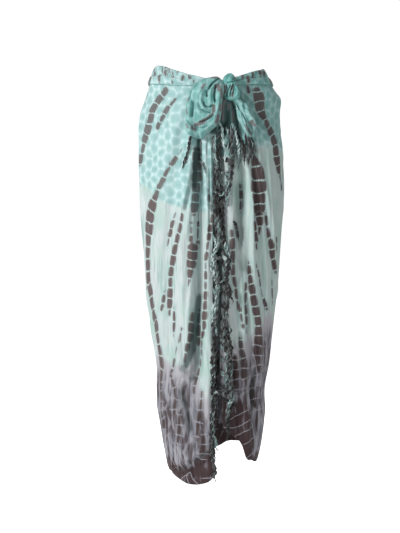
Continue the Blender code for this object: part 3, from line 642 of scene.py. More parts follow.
def dye_level(zones, angle, z):
    """0 in the teal, 1 in the mint, 2 in the grey and 3 in the brown, blurred between."""
    level = np.zeros(np.shape(z))
    for name, (blur, start) in ZONE_BLUR.items():
        level = level + ease((through(zones, ZONE_COLUMNS, name, angle) - z) / blur + start)
    return level


def give(mesh, name, values):
    """A number at each point of a mesh, for its material."""
    attribute = mesh.attributes.new(name, "FLOAT", "POINT")
    attribute.data.foreach_set("value", np.ascontiguousarray(values, np.float32).ravel())


def lay_flat(mesh, across, down):
    """The UV map of a cloth: metres across and down its flat cut."""
    layer = mesh.uv_layers.new(name="flat")
    corner = np.zeros(len(mesh.loops), np.int32)
    mesh.loops.foreach_get("vertex_index", corner)
    uv = np.stack([np.ravel(across)[corner], np.ravel(down)[corner]], axis=-1)
    layer.data.foreach_set("uv", np.ascontiguousarray(uv, np.float32).ravel())


def grid_mesh(name, points, closed=False, flip=False):
    """A mesh of quads on an array of points: rows, columns, xyz."""
    rows, columns, _ = points.shape
    index = np.arange(rows * columns).reshape(rows, columns)
    if closed:
        index = np.concatenate([index, index[:, :1]], axis=1)
    corners = (index[:-1, :-1], index[1:, :-1], index[1:, 1:], index[:-1, 1:])
    faces = np.stack([c.ravel() for c in corners], axis=-1)
    if flip:
        faces = faces[:, ::-1]
    mesh = bpy.data.meshes.new(name)
    mesh.from_pydata(points.reshape(-1, 3).tolist(), [], faces.tolist())
    return mesh


def shown(name, mesh, material, nodes):
    """The finished piece: an object of its own that stands for its CAD nodes."""
    mesh.materials.append(material)
    mesh.shade_smooth()
    piece = bpy.data.objects.new(name, mesh)
    bpy.context.scene.collection.objects.link(piece)
    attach(piece, "root")
    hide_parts(*nodes)
    return piece


def applied(piece, kind, **settings):
    """Adds a modifier to a piece and applies it."""
    modifier = piece.modifiers.new("shape", kind)
    for key, value in settings.items():
        setattr(modifier, key, value)
    bpy.ops.object.select_all(action="DESELECT")
    piece.select_set(True)
    bpy.context.view_layer.objects.active = piece
    bpy.ops.object.modifier_apply(modifier=modifier.name)


def node(tree, kind, *inputs, **settings):
    """A shader node with its inputs set or linked in order. Returns its first output."""
    made = tree.nodes.new("ShaderNode" + kind)
    for key, value in settings.items():
        setattr(made, key, value)
    for socket, value in zip(made.inputs, inputs):
        if isinstance(value, bpy.types.NodeSocket):
            tree.links.new(value, socket)
        elif value is not None:
            socket.default_value = value
    return made.outputs[0]


def maths(tree, operation, *inputs):
    """A sum of two or three numbers in a shader."""
    return node(tree, "Math", *inputs, operation=operation)


def mixed(tree, share, first, second, blend="MIX"):
    """One colour mixed with another by a share."""
    made = tree.nodes.new("ShaderNodeMix")
    made.data_type = "RGBA"
    made.blend_type = blend
    for socket, value in zip((made.inputs[i] for i in (0, 6, 7)), (share, first, second)):
        if isinstance(value, bpy.types.NodeSocket):
            tree.links.new(value, socket)
        else:
            socket.default_value = value if isinstance(value, float) else (*value, 1.0)
    return made.outputs[2]


def soft_step(tree, value, low, high, most=1.0):
    """0 below low and the most above high, smooth between."""
    made = tree.nodes.new("ShaderNodeMapRange")
    made.interpolation_type = "SMOOTHSTEP"
    tree.links.new(value, made.inputs[0])
    made.inputs[1].default_value = low
    made.inputs[2].default_value = high
    made.inputs[4].default_value = most
    return made.outputs[0]


def streaks(tree, place, across, along, detail):
    """Noise drawn out along the cloth, between 0 and 1."""
    scaled = node(tree, "VectorMath", place, (across, along, 1.0), operation="MULTIPLY")
    return node(tree, "TexNoise", scaled, None, 1.0, detail)


def net(tree, place, wide, high):
    """Rows of cells set off by half a cell: 3 in the middle of a cell, about -1.5 between."""
    total = None
    for turns in ((1 / wide, 0), (-0.5 / wide, 1 / high), (0.5 / wide, 1 / high)):
        wave = (turns[0] * math.tau, turns[1] * math.tau, 0.0)
        dot = tree.nodes.new("ShaderNodeVectorMath")
        dot.operation = "DOT_PRODUCT"
        tree.links.new(place, dot.inputs[0])
        dot.inputs[1].default_value = wave
        cosine = maths(tree, "COSINE", dot.outputs["Value"])
        total = cosine if total is None else maths(tree, "ADD", total, cosine)
    return total


def warped(tree, place, scale, far):
    """The place moved about by soft noise."""
    noise = tree.nodes.new("ShaderNodeTexNoise")
    tree.links.new(place, noise.inputs["Vector"])
    noise.inputs["Scale"].default_value = scale
    noise.inputs["Detail"].default_value = 2.0
    both_ways = node(tree, "VectorMath", noise.outputs["Color"], (0.5,) * 3, operation="SUBTRACT")
    moved = node(tree, "VectorMath", both_ways, (far, far, 0.0), operation="MULTIPLY")
    return node(tree, "VectorMath", place, moved, operation="ADD")


# The colours of the dye, from the waist down, then those of the spots and the ties.
TEAL = (0.400, 0.620, 0.615)
TEAL_DEEP = (0.290, 0.520, 0.512)
TEAL_PALE = (0.590, 0.770, 0.770)
TEAL_SHADE = (0.340, 0.655, 0.612)  # times the teal: painted shade, and the darker teal of the bow
# The painted shadow in the pleats and hollows, and on the middle tail.
TEAL_PAINTED_SHADOW = (0.020, 0.050, 0.047)
MINT = (0.650, 0.715, 0.712)
MINT_STREAK = (0.345, 0.500, 0.478)
MINT_GREEN = (0.480, 0.650, 0.595)
LILAC = (0.480, 0.480, 0.515)
GREY = (0.195, 0.197, 0.232)
GREY_DEEP = (0.098, 0.096, 0.116)
GREY_PALE = (0.400, 0.395, 0.440)
BROWN = (0.062, 0.037, 0.039)
BROWN_PALE = (0.170, 0.140, 0.150)
STAIN = (0.066, 0.041, 0.044)
SPOT_TOP = (0.150, 0.148, 0.147)
SPOT = (0.134, 0.102, 0.102)
SPOT_LOW = (0.055, 0.035, 0.037)
SPOT_EDGE = (0.260, 0.245, 0.240)
TIE_PALE = (0.540, 0.680, 0.665)


def dyed_rayon(name):
    """Thin crinkled rayon. It reads the flat place, the dye level and the rows of spots."""
    material = bpy.data.materials.new(name)
    material.use_nodes = True
    tree = material.node_tree
    shader = tree.nodes["Principled BSDF"]
    uv = tree.nodes.new("ShaderNodeUVMap")
    uv.uv_map = "flat"
    place = uv.outputs[0]

    def number(attribute):
        made = tree.nodes.new("ShaderNodeAttribute")
        made.attribute_name = attribute
        return made.outputs["Fac"]

    def centred(value, amount, start):
        """A noise about its middle, times an amount, added to a start."""
        return maths(tree, "MULTIPLY_ADD", maths(tree, "SUBTRACT", value, 0.5), amount, start)

    side = maths(tree, "MULTIPLY", number("row_side"), 1000.0)
    along = maths(tree, "MULTIPLY", number("row_along"), 1 / SPOT_PITCH)
    broad = streaks(tree, place, 150.0, 9.0, 3.0)
    fine = streaks(tree, place, 520.0, 20.0, 3.0)
    patch = streaks(tree, place, 18.0, 9.0, 2.0)
    part = tree.nodes.new("ShaderNodeSeparateXYZ")
    tree.links.new(place, part.inputs[0])
    right = maths(
        tree, "MULTIPLY",
        soft_step(tree, part.outputs["X"], 0.03, 0.10), soft_step(tree, part.outputs["X"], 0.32, 0.20),
    )
    level = number("dye")
    ragged = centred(broad, 0.9, level)

    # Teal: rounded cells with a thin paler net between them, and deeper where it was bunched.
    cells = net(tree, warped(tree, place, 26.0, 0.024), 0.0215, 0.0275)
    cells = centred(broad, 1.6, cells)
    teal = mixed(tree, soft_step(tree, cells, -1.6, -0.2), TEAL_PALE, TEAL)
    bunched = soft_step(tree, patch, 0.2, 0.65)
    deep_dye_and_painted_shade = maths(tree, "MULTIPLY", soft_step(tree, cells, -0.6, 3.0), bunched)
    teal = mixed(tree, deep_dye_and_painted_shade, teal, TEAL_DEEP)
    teal = mixed(tree, soft_step(tree, fine, 0.55, 0.85, 0.7), teal, TEAL_PALE)
    # A low dye level makes the teal darker: painted shade right of the opening and on the roll, a
    # painted shadow on the middle tail, and darker teal on the knot, loop and right tail.
    shade = centred(broad, 0.5, maths(tree, "MULTIPLY", level, -1.0))
    teal = mixed(tree, soft_step(tree, shade, 0.05, 1.0), teal, TEAL_SHADE, "MULTIPLY")
    teal = mixed(tree, soft_step(tree, shade, 1.0, 2.0), teal, TEAL_PAINTED_SHADOW)
    # Mint: near white, with fine streaks down the cloth; right of the opening greener, and darker as
    # painted shade.
    mint = mixed(tree, soft_step(tree, broad, 0.50, 0.72), MINT, MINT_STREAK)
    mint = mixed(tree, soft_step(tree, patch, 0.42, 0.75), mint, MINT_GREEN)
    mint = mixed(tree, maths(tree, "MULTIPLY", right, 0.4), mint, MINT_GREEN)
    mint = mixed(tree, soft_step(tree, fine, 0.52, 0.80), mint, MINT_STREAK)
    # Grey: pale and dark streaks down the cloth, brown where it was bunched, and long pale lines.
    lenses = net(tree, warped(tree, place, 14.0, 0.040), 0.019, 0.070)
    lenses = centred(broad, 2.2, lenses)
    runs = streaks(tree, place, 78.0, 11.0, 3.0)
    stains = streaks(tree, warped(tree, place, 9.0, 0.030), 52.0, 10.0, 2.0)
    grey = mixed(tree, soft_step(tree, runs, 0.36, 0.60), GREY_PALE, GREY)
    grey = mixed(tree, soft_step(tree, broad, 0.48, 0.70), grey, GREY_DEEP)
    stained = soft_step(tree, centred(fine, 0.4, stains), 0.475, 0.545, 0.85)
    grey = mixed(tree, stained, grey, STAIN)
    grey = mixed(tree, soft_step(tree, lenses, -0.6, -1.4, 0.7), grey, GREY_PALE)
    grey = mixed(tree, soft_step(tree, fine, 0.52, 0.85, 0.6), grey, GREY_PALE)
    # Brown: solid, with a few paler threads.
    brown = mixed(tree, soft_step(tree, fine, 0.50, 0.95), BROWN, BROWN_PALE)

    # One bath fades into the next, with a lilac band where the mint meets the grey.
    colour = mixed(tree, soft_step(tree, ragged, 0.15, 0.85), teal, mint)
    colour = mixed(tree, soft_step(tree, ragged, 1.18, 1.42), colour, LILAC)
    colour = mixed(tree, soft_step(tree, ragged, 1.50, 2.02), colour, grey)
    centres = maths(tree, "ADD", ragged, maths(tree, "MULTIPLY", lenses, 0.20))
    colour = mixed(tree, soft_step(tree, centres, 2.30, 2.80), colour, brown)

    # The spots: each bulges between two ties and is combed out at its sides, and the ties
    # themselves stay pale.
    halo_colour = mixed(tree, soft_step(tree, level, 1.0, 1.5), TEAL_DEEP, GREY_DEEP)
    colour = mixed(tree, soft_step(tree, side, -13.0, 1.0, 0.28), colour, halo_colour)
    along = centred(patch, 0.90, along)
    each = tree.nodes.new("ShaderNodeTexWhiteNoise")
    each.noise_dimensions = "1D"
    tree.links.new(maths(tree, "FLOOR", along), each.inputs["W"])
    past_tie = maths(tree, "FRACT", along)
    from_middle = maths(tree, "ABSOLUTE", maths(tree, "SUBTRACT", past_tie, 0.5))
    to_tie = maths(tree, "MULTIPLY", maths(tree, "SUBTRACT", 0.5, from_middle), SPOT_PITCH * 1000)
    narrowing = maths(tree, "POWER", maths(tree, "MULTIPLY", from_middle, 2.0), 3.0)
    side = centred(each.outputs["Value"], 3.6, centred(fine, 11.0, side))
    side = centred(broad, 7.0, side)
    side = maths(tree, "MULTIPLY_ADD", narrowing, -3.0, side)
    between_ties = soft_step(tree, centred(fine, 8.0, to_tie), 0.3, 2.3)
    spot = maths(tree, "MULTIPLY", soft_step(tree, side, -2.0, 1.6), between_ties)
    spot_colour = mixed(tree, soft_step(tree, level, 0.2, 1.0), SPOT_TOP, SPOT)
    spot_colour = mixed(tree, soft_step(tree, level, 1.2, 2.2), spot_colour, SPOT_LOW)
    # Darker right of the opening: painted shade.
    spot_colour = mixed(tree, maths(tree, "MULTIPLY", right, 0.55), spot_colour, SPOT_LOW)
    spot_colour = mixed(tree, soft_step(tree, side, 4.5, 0.0, 0.45), spot_colour, SPOT_EDGE)
    spot_colour = mixed(tree, soft_step(tree, fine, 0.52, 1.0), spot_colour, GREY_PALE)
    further = maths(tree, "MULTIPLY_ADD", right, 18.0, 6.0)
    reach = maths(tree, "MULTIPLY_ADD", soft_step(tree, level, 1.5, 2.2), further, side)
    on_tie = soft_step(tree, to_tie, 2.2, 0.6, 0.60)
    pale_tie = maths(tree, "MULTIPLY", soft_step(tree, reach, -8.0, 0.0), on_tie)
    tie_colour = mixed(tree, soft_step(tree, level, 1.2, 2.0), TIE_PALE, GREY_PALE)
    colour = mixed(tree, pale_tie, colour, tie_colour)
    colour = mixed(tree, spot, colour, spot_colour)

    # The long ties that were charted one by one, and the painted shade over all.
    off_line = maths(tree, "ABSOLUTE", centred(broad, 1.6, number("line_off")))
    near_line = soft_step(tree, number("line_near"), 0.1, 0.5, 0.8)
    on_line = maths(tree, "MULTIPLY", soft_step(tree, off_line, 1.6, 0.4), near_line)
    colour = mixed(tree, on_line, colour, GREY_PALE)
    colour = mixed(tree, number("deep_dye_and_painted_shade"), colour, TEAL_PAINTED_SHADOW)
    tree.links.new(colour, shader.inputs["Base Color"])

    shader.inputs["Roughness"].default_value = 0.82
    shader.inputs["Specular IOR Level"].default_value = 0.28
    shader.inputs["Sheen Weight"].default_value = 0.22
    shader.inputs["Sheen Roughness"].default_value = 0.45

    # A crinkle down the cloth, and the plain weave itself.
    crinkle = streaks(tree, place, 380.0, 34.0, 4.0)
    bump = tree.nodes.new("ShaderNodeBump")
    bump.inputs["Strength"].default_value = 0.55
    bump.inputs["Distance"].default_value = 0.0012
    tree.links.new(crinkle, bump.inputs["Height"])
    weave = node(tree, "TexNoise", place, None, 2600.0, 1.0)
    threads = tree.nodes.new("ShaderNodeBump")
    threads.inputs["Strength"].default_value = 0.35
    threads.inputs["Distance"].default_value = 0.0004
    tree.links.new(weave, threads.inputs["Height"])
    tree.links.new(bump.outputs[0], threads.inputs["Normal"])
    tree.links.new(threads.outputs[0], shader.inputs["Normal"])
    return material


rayon = dyed_rayon("dyed rayon")

# Long pale ties, most of them in the grey and the brown: points across and up, as seen.
TIES = (
    ((-77, -1032), (-74, -1021), (-54, -1006)), ((-64, -1014), (-53, -1040)),
    ((-53, -1009), (-47, -1025), (-29, -1040)), ((-21, -1022), (4, -1020)),
    ((-35, -964), (-25, -972), (-13, -973)), ((-41, -754), (-67, -780), (-82, -787)),
    ((-114, -948), (-100, -974), (-86, -1000)), ((-101, -925), (-84, -950), (-66, -985)),
    ((-108, -905), (-112, -940), (-118, -975)),
    ((30, -891), (66, -891), (97, -871)), ((53, -921), (78, -906), (105, -890)),
    ((86, -934), (108, -918)), ((44, -873), (66, -862), (95, -843)), ((88, -972), (118, -946)),
    ((98, -640), (101, -671), (112, -713), (118, -762)), ((97, -640), (98, -744), (98, -842)),
)
TIE_REACH = 7.0  # millimetres from such a tie where it is still told apart
NO_TIE = 50.0  # millimetres, where none is near

# Painted shade in the deep pleats and hollows, under the loop and beside the knot, the tails and
# the fringe, as seen: a line of points, the half widths to its left and right, and how dark it is.
PAINTED_SHADE_LINES = (
    (((-31, -128), (-35, -170), (-39, -215)), 5, 5, 0.80),
    (((-36, -165), (-40, -215), (-43, -285)), 9, 8, 0.90),
    (((-42, -200), (-53, -270), (-70, -340)), 10, 9, 0.66),
    (((-30, -535), (-40, -620), (-50, -690), (-70, -748)), 14, 12, 0.82),
    (((-34, -250), (-28, -400), (-26, -560), (-36, -700), (-50, -770)), 24, 5, 0.28),
    (((-13, -122), (8, -128), (28, -128), (50, -140)), 16, 16, 0.85),
    (((20, -140), (26, -200), (24, -280)), 12, 16, 0.50),
    (((60, -50), (68, -90), (80, -150)), 8, 8, 0.65),
    (((64, -22), (90, -42), (114, -66)), 10, 4, 0.30),
    (((104, -84), (126, -112), (152, -146)), 5, 12, 0.32),
    (((96, -96), (108, -120), (118, -150)), 4, 10, 0.22),
    (((-12, -150), (-10, -260), (-8, -330)), 3, 4, 0.42),
    (((2, -150), (1, -240), (2, -340)), 3, 6, 0.50),
    (((74, -250), (84, -400), (88, -500)), 26, 14, 0.40),
    (((-80, -735), (-58, -755), (-46, -775)), 10, 14, 0.40),
    (((-84, -788), (-68, -850), (-58, -910)), 3, 16, 0.45),
    (((-4, -950), (-30, -968), (-56, -986), (-90, -1000)), 3, 7, 0.45),
    (((112, -730), (106, -820), (100, -900)), 5, 10, 0.40),
    (((74, -640), (72, -760)), 5, 8, 0.25),
)
PAINTED_SHADE_FULL = 1.6  # above 1, the darkest part is a band and not a line
SHADE_FROM = 150  # degrees from the front where the painted shade of a half has faded out
SHADE_FADE = 50  # degrees that this takes
RIGHT_SHADE = 0.52  # how much darker the teal is right of the opening: painted shade


def nearest_tie(far, z):
    """Millimetres to the right of the nearest long tie, and 1 on it to 0 at its reach."""
    off = np.full(far.shape, NO_TIE)
    for points in TIES:
        _, across = from_curve(far, z, np.array([seen_point(x, up) for x, up in points]))
        off = np.where(np.abs(across) * 1000 < np.abs(off), across * 1000, off)
    return off, np.clip(1 - np.abs(off) / TIE_REACH, 0, 1)


def painted_shade_share(far, z):
    """How dark the painted shade is, from 0 to 1."""
    share = np.zeros(far.shape)
    for points, left, right, most in PAINTED_SHADE_LINES:
        along, across = from_curve(far, z, np.array([seen_point(x, up) for x, up in points]))
        shade_band = PAINTED_SHADE_FULL * crease(across, along, left / 1000, right / 1000, 0.12)
        share = np.maximum(share, most * np.clip(shade_band, 0, 1))
    return share


def wound_half(name, side, rows, zones, shade, nodes):
    """From a fringed end round the side to the middle of the back."""
    towards = -1 if side == "left_x" else 1
    hem = side.replace("_x", "_end_z")
    share = np.concatenate(
        [np.linspace(0, 1, FRONT_COLUMNS, endpoint=False), np.linspace(1, 2, BACK_COLUMNS + 1)]
    )
    share, down = np.meshgrid(share, np.linspace(0, 1, ROWS + 1))
    top = waist_top(end_angle(side, share, 0.0)) - WAIST_TUCK
    low = through(HEM, HEM_COLUMNS, hem, end_angle(side, share, HEM_LEVEL))
    z = top + (low - top) * down * (1 - ROW_CROWDING + ROW_CROWDING * down)
    angle = end_angle(side, share, z)
    mesh = grid_mesh(name, cloth(angle, z, 0.0, True), flip=towards < 0)
    far = round_from_front(angle, z)
    row_side, row_along = nearest_row(charted(rows) + back_rows(towards), far, z)
    give(mesh, "row_side", row_side)
    give(mesh, "row_along", row_along)
    level = dye_level(zones, angle, z)
    shade = shade * ease((SHADE_FROM - np.abs(angle)) / SHADE_FADE)
    # The dye level, lowered by the painted shade of the half.
    give(mesh, "dye", level - shade * np.clip(1 - level, 0, 1))
    # The painted shade of the pleats and hollows.
    give(mesh, "deep_dye_and_painted_shade", painted_shade_share(far, z))
    off, near = nearest_tie(far, z)
    give(mesh, "line_off", off)
    give(mesh, "line_near", near)
    lay_flat(mesh, far, z)
    piece = shown(name, mesh, rayon, nodes)
    applied(piece, "SOLIDIFY", thickness=WALL, offset=-1.0, use_even_offset=False)
    return piece


wrap_left = wound_half(
    "wrap_left", "left_x", LEFT_ROWS, LEFT_ZONES, 0.0, ["left_panel", "back_panel"]
)
wrap_right = wound_half(
    "wrap_right", "right_x", RIGHT_ROWS, RIGHT_ZONES, RIGHT_SHADE, ["right_panel"]
)


# The upper edge of the same rayon. It is rolled down outside the cloth in two rounds, from the
# left of the knot round the back to the right of it, and its lower round stands out further.

ROLL_CLEARANCE = 0.0009
ROLL_THICKNESS = 0.0068
ROLL_FIRST = 0.125  # share of the front stretch that the roll leaves bare beside the knot
ROLL_LATER = 0.012  # how much more it leaves bare on the right
ROLL_SECTIONS = 150  # of each half
ROLL_SIDES = 40
ROLL_PROFILE = (  # share of the thickness outwards, share of the height down
    (0.00, 0.06), (0.30, 0.00), (0.80, 0.04), (0.98, 0.16), (0.92, 0.32), (0.66, 0.43),
    (0.50, 0.485), (0.74, 0.50), (1.12, 0.55), (1.28, 0.68), (1.26, 0.84), (1.02, 0.955),
    (0.55, 0.985), (0.12, 0.93), (0.00, 0.70), (0.00, 0.35),
)
# Folds of the rolled edge: angle, lean in degrees, half width in degrees, depth in millimetres.
ROLL_FOLDS = (
    (-84, 6, 5, 1.6), (-72, -14, 4, -1.8), (-63, 15, 3, 1.4), (-55, -15, 3, -1.6),
    (-46, 20, 3, 1.7), (-39, 24, 3, -1.8), (-31, 24, 3, 1.3), (38, -20, 3, 1.5),
    (47, -16, 4, -1.8), (57, 14, 3, 1.4), (66, -15, 4, -1.6), (78, 14, 4, 1.6), (96, 5, 5, -0.9),
    (118, -6, 6, 1.1), (141, 6, 6, -1.0), (163, -5, 6, 1.0), (-176, 6, 6, -1.0),
    (-154, -6, 6, 1.0), (-133, 6, 6, -0.9), (-112, -6, 6, 1.1),
)
# Marks of the dye on it, as the rows of the cloth.
ROLL_MARKS = (
    ((-121, 33, 2), (-121, 15, 2)), ((-113, 31, 3.5), (-113, 14, 3)),
    ((-96, 27, 2), (-96, 14, 2)), ((-128, 11, 4), (-128, -4, 4)),
    ((-95, 8, 2), (-95, -8, 3)), ((-71, 7, 3), (-73, -8, 3)), ((-158, 6, 5), (-158, -8, 4)),
    ((-60, 14, 2), (-52, 6, 3)), ((92, 12, 3.5), (93, -12, 5)), ((76, 16, 2), (80, 6, 3)),
    ((131, 27, 5), (131, 16, 4)), ((112, 8, 2), (112, -6, 2)), ((146, 6, 3), (148, -8, 4)),
    ((-106, 28, 2), (-105, 12, 3)), ((-84, 24, 2.5), (-85, 10, 2)), ((-44, 2, 2), (-45, -6, 2)),
    ((121, 22, 4), (123, 8, 3)), ((103, 16, 2), (104, 6, 2)), ((-140, 30, 3), (-141, 14, 3)),
)
ROLL_SHADE = 0.7  # how much darker its teal is right of the knot: painted shade


def closed_curve(points, count):
    """A smooth closed line through points."""
    points = np.array(points, float)
    points = np.concatenate([points[-2:], points, points[:3]])
    at = np.linspace(2, len(points) - 3, count, endpoint=False)
    i = at.astype(int)
    t = (at - i)[:, None]
    a, b, c, d = points[i - 1], points[i], points[i + 1], points[i + 2]
    return 0.5 * (
        2 * b + (c - a) * t + (2 * a - 5 * b + 4 * c - d) * t**2 + (3 * b - a - 3 * c + d) * t**3
    )


def rolled_half(side, shares):
    """Sections of one half of the roll: points, distance round, height and distance across."""
    profile = closed_curve(ROLL_PROFILE, ROLL_SIDES)
    share = shares[:, None]
    nominal = end_angle(side, share, 0.0)
    full = np.clip(0.55 + 0.12 * (share - ROLL_FIRST) * 24, 0.0, 1.0) * (1 - 0.35 * ease(share))
    z = waist_top(nominal) - through(WAIST, WAIST_COLUMNS, "roll_height", nominal) * profile[:, 1]
    angle = end_angle(side, share, z)
    rise = np.zeros(angle.shape)
    for at, lean, width, depth in ROLL_FOLDS:
        away = np.abs((angle - at - lean * (profile[:, 1] - 0.5) + 180) % 360 - 180)
        rise = rise + depth / 1000 * (0.5 + 0.5 * np.cos(math.pi * np.clip(away / width, 0, 1)))
    twist = 0.0005 * np.sin(np.radians(angle) * 23 + 9 * profile[:, 1])
    outer = ease(profile[:, 0] / 0.5)
    out = ROLL_CLEARANCE + ROLL_THICKNESS * profile[:, 0] * full + (rise + twist) * outer * full
    # The roll lies on the creased cloth, and never nearer to it than its clearance.
    points = cloth(angle, z, out, True)
    across = np.concatenate([[0], np.cumsum(np.hypot(*np.diff(profile, axis=0).T))]) * 0.03
    return points, round_from_front(angle, z), z, np.broadcast_to(across, z.shape)


left_roll = rolled_half("left_x", np.linspace(ROLL_FIRST, 2.0, ROLL_SECTIONS))
right_roll = rolled_half(
    "right_x", np.linspace(2.0, ROLL_FIRST + ROLL_LATER, ROLL_SECTIONS)[1:]
)
roll_points, roll_far, roll_z, roll_across = (
    np.concatenate([left, right]) for left, right in zip(left_roll, right_roll)
)
roll_mesh = grid_mesh("waist_roll_cloth", roll_points, closed=True)
end_caps = bmesh.new()
end_caps.from_mesh(roll_mesh)
bmesh.ops.holes_fill(end_caps, edges=end_caps.edges, sides=0)
bmesh.ops.recalc_face_normals(end_caps, faces=end_caps.faces)
end_caps.to_mesh(roll_mesh)
end_caps.free()
roll_side, roll_along = nearest_row(charted(ROLL_MARKS), roll_far, roll_z)
give(roll_mesh, "row_side", roll_side)
give(roll_mesh, "row_along", roll_along)
# Painted shade right of the knot, given as a lower dye level.
roll_right = ease((roll_far - 0.02) / 0.06) * ease((0.32 - roll_far) / 0.10)
give(roll_mesh, "dye", -ROLL_SHADE * roll_right)
lay_flat(roll_mesh, roll_far, roll_across)
waist_roll_cloth = shown("waist_roll_cloth", roll_mesh, rayon, ["waist_roll"])


# The knot. The two upper corners of the rayon are gathered tight and tied once round each other
# before the rolled edge, in narrow pleats that the tie draws together.

BOW_Y = -0.135  # how far before the middle the bow lies, for places charted as seen
BOW_SECTORS = 220
BOW_FRONT_RINGS = 90
BOW_BACK_RINGS = 18
BOW_FULLNESS = 1.3  # metres of cloth in a metre across
KNOT_OUT = 0.0240
KNOT_FRONT = 0.0190
KNOT_BACK = 0.0160
KNOT_FLATNESS = 2.4
KNOT_DYE = -0.88  # deeper than the plain teal, which is 0
# Its outline and its middle, charted as seen. Each fold is a line of points with the half widths
# to its left and right and its height, and each mark of the dye a line with its half width.
KNOT_OUTLINE = (
    (29, 8), (36, 17), (45, 21), (53, 15), (58, 5), (59, -8), (64, -18), (70, -31), (69, -42),
    (63, -50), (51, -51), (41, -49), (33, -42), (29, -26), (28, -8),
)
KNOT_MIDDLE = (47, -17)
KNOT_FOLDS = (
    (((33, -8), (44, -5), (54, 0), (59, 5)), 3, 3, -5.0),
    (((35, -10), (38, -26), (35, -44)), 2.2, 2.2, -8.0),
    (((45, -9), (41, -23), (38, -36), (40, -46)), 2.0, 2.0, -9.0),
    (((51, -4), (47, -18), (44, -31), (45, -45)), 2.2, 2.0, -8.0),
    (((52, -9), (52, -26), (49, -40)), 2.0, 2.0, -5.0),
    (((54, 1), (60, -13), (68, -29)), 2.5, 2.5, -3.5),
    (((57, -10), (61, -28), (58, -44)), 5, 6, 4.5),
    (((48, -8), (44, -23), (41, -38)), 2, 2, 3.5),
    (((38, 10), (45, 3), (41, -5)), 5, 5, 4.0),
    (((46, 18), (38, 8), (32, -4)), 2.5, 2.5, -3.0),
    (((56, 10), (47, 1)), 2, 2, -3.5),
)
KNOT_MARKS = (
    (((47, -15), (46, -23)), 2.2), (((50, -32), (49, -41)), 2.4), (((54, 8), (57, 2)), 2.0),
    (((33, -14), (33, -32)), 2.0),
)


def as_seen(points, y=BOW_Y):
    """Across and up in metres, at a depth, of points charted as seen."""
    eye = np.array([CAMERA[0], CAMERA[2]])
    return eye + (np.array(points, float) / 1000 - eye) * (1 - y / CAMERA[1])


def drawn_height(x, z, folds):
    """The height of ridges (+) and valleys (-) along lines charted as seen."""
    height = np.zeros(np.shape(x))
    for points, left, right, rise in folds:
        along, across = from_curve(x, z, as_seen(points))
        height = height + rise / 1000 * crease(across, along, left / 1000, right / 1000, 0.18)
    return height


def drawn_marks(x, z, marks):
    """Distance inside the nearest mark of the dye."""
    inside = np.full(np.shape(x), NO_ROW)
    for points, half in marks:
        _, across = from_curve(x, z, as_seen(points))
        inside = np.maximum(inside, half / 1000 - np.abs(across))
    return inside


def merged(mesh):
    """The mesh with its doubled points made one and its faces turned outwards."""
    bm = bmesh.new()
    bm.from_mesh(mesh)
    bmesh.ops.remove_doubles(bm, verts=bm.verts, dist=0.00001)
    bmesh.ops.recalc_face_normals(bm, faces=bm.faces)
    bm.to_mesh(mesh)
    bm.free()


def puffed(name, outline, middle, base, front, back, flatness, folds, marks, dye, node_name):
    """A closed piece with a drawn outline: folded and full in front, and plain behind."""
    rim = closed_curve(as_seen(outline), BOW_SECTORS)
    centre = as_seen([middle])[0]
    front_rings = np.linspace(0, 0.5, BOW_FRONT_RINGS)
    back_rings = np.linspace(0.5, 1, BOW_BACK_RINGS)[1:]
    rings = np.concatenate([front_rings, back_rings])[:, None] * math.pi
    share = np.sin(rings)
    x, z = np.moveaxis(centre + share[..., None] * (rim - centre), -1, 0)
    share = np.broadcast_to(share, x.shape)
    full = np.sqrt(np.clip(1 - share**flatness, 0, 1))
    height = full * front + drawn_height(x, z, folds) * ease((1 - share) / 0.12)
    height = np.where(np.cos(rings) > 0, height, -full * back)
    mesh = grid_mesh(name, on_front(x, z, base(x, z) + height), closed=True)
    give(mesh, "row_side", drawn_marks(x, z, marks))
    give(mesh, "row_along", np.full(x.shape, SPOT_PITCH / 2))
    give(mesh, "dye", np.full(x.shape, dye))
    lay_flat(mesh, x * BOW_FULLNESS, z)
    merged(mesh)
    return shown(name, mesh, rayon, [node_name])


knot_cloth = puffed(
    "knot_cloth", KNOT_OUTLINE, KNOT_MIDDLE, lambda x, z: KNOT_OUT, KNOT_FRONT, KNOT_BACK,
    KNOT_FLATNESS, KNOT_FOLDS, KNOT_MARKS, KNOT_DYE, "knot",
)


# The loop of the half bow: one corner of the rayon, folded back on itself left of the knot. Its
# outer turn sweeps round the bottom, and its pleats run up into the knot round a hollow.

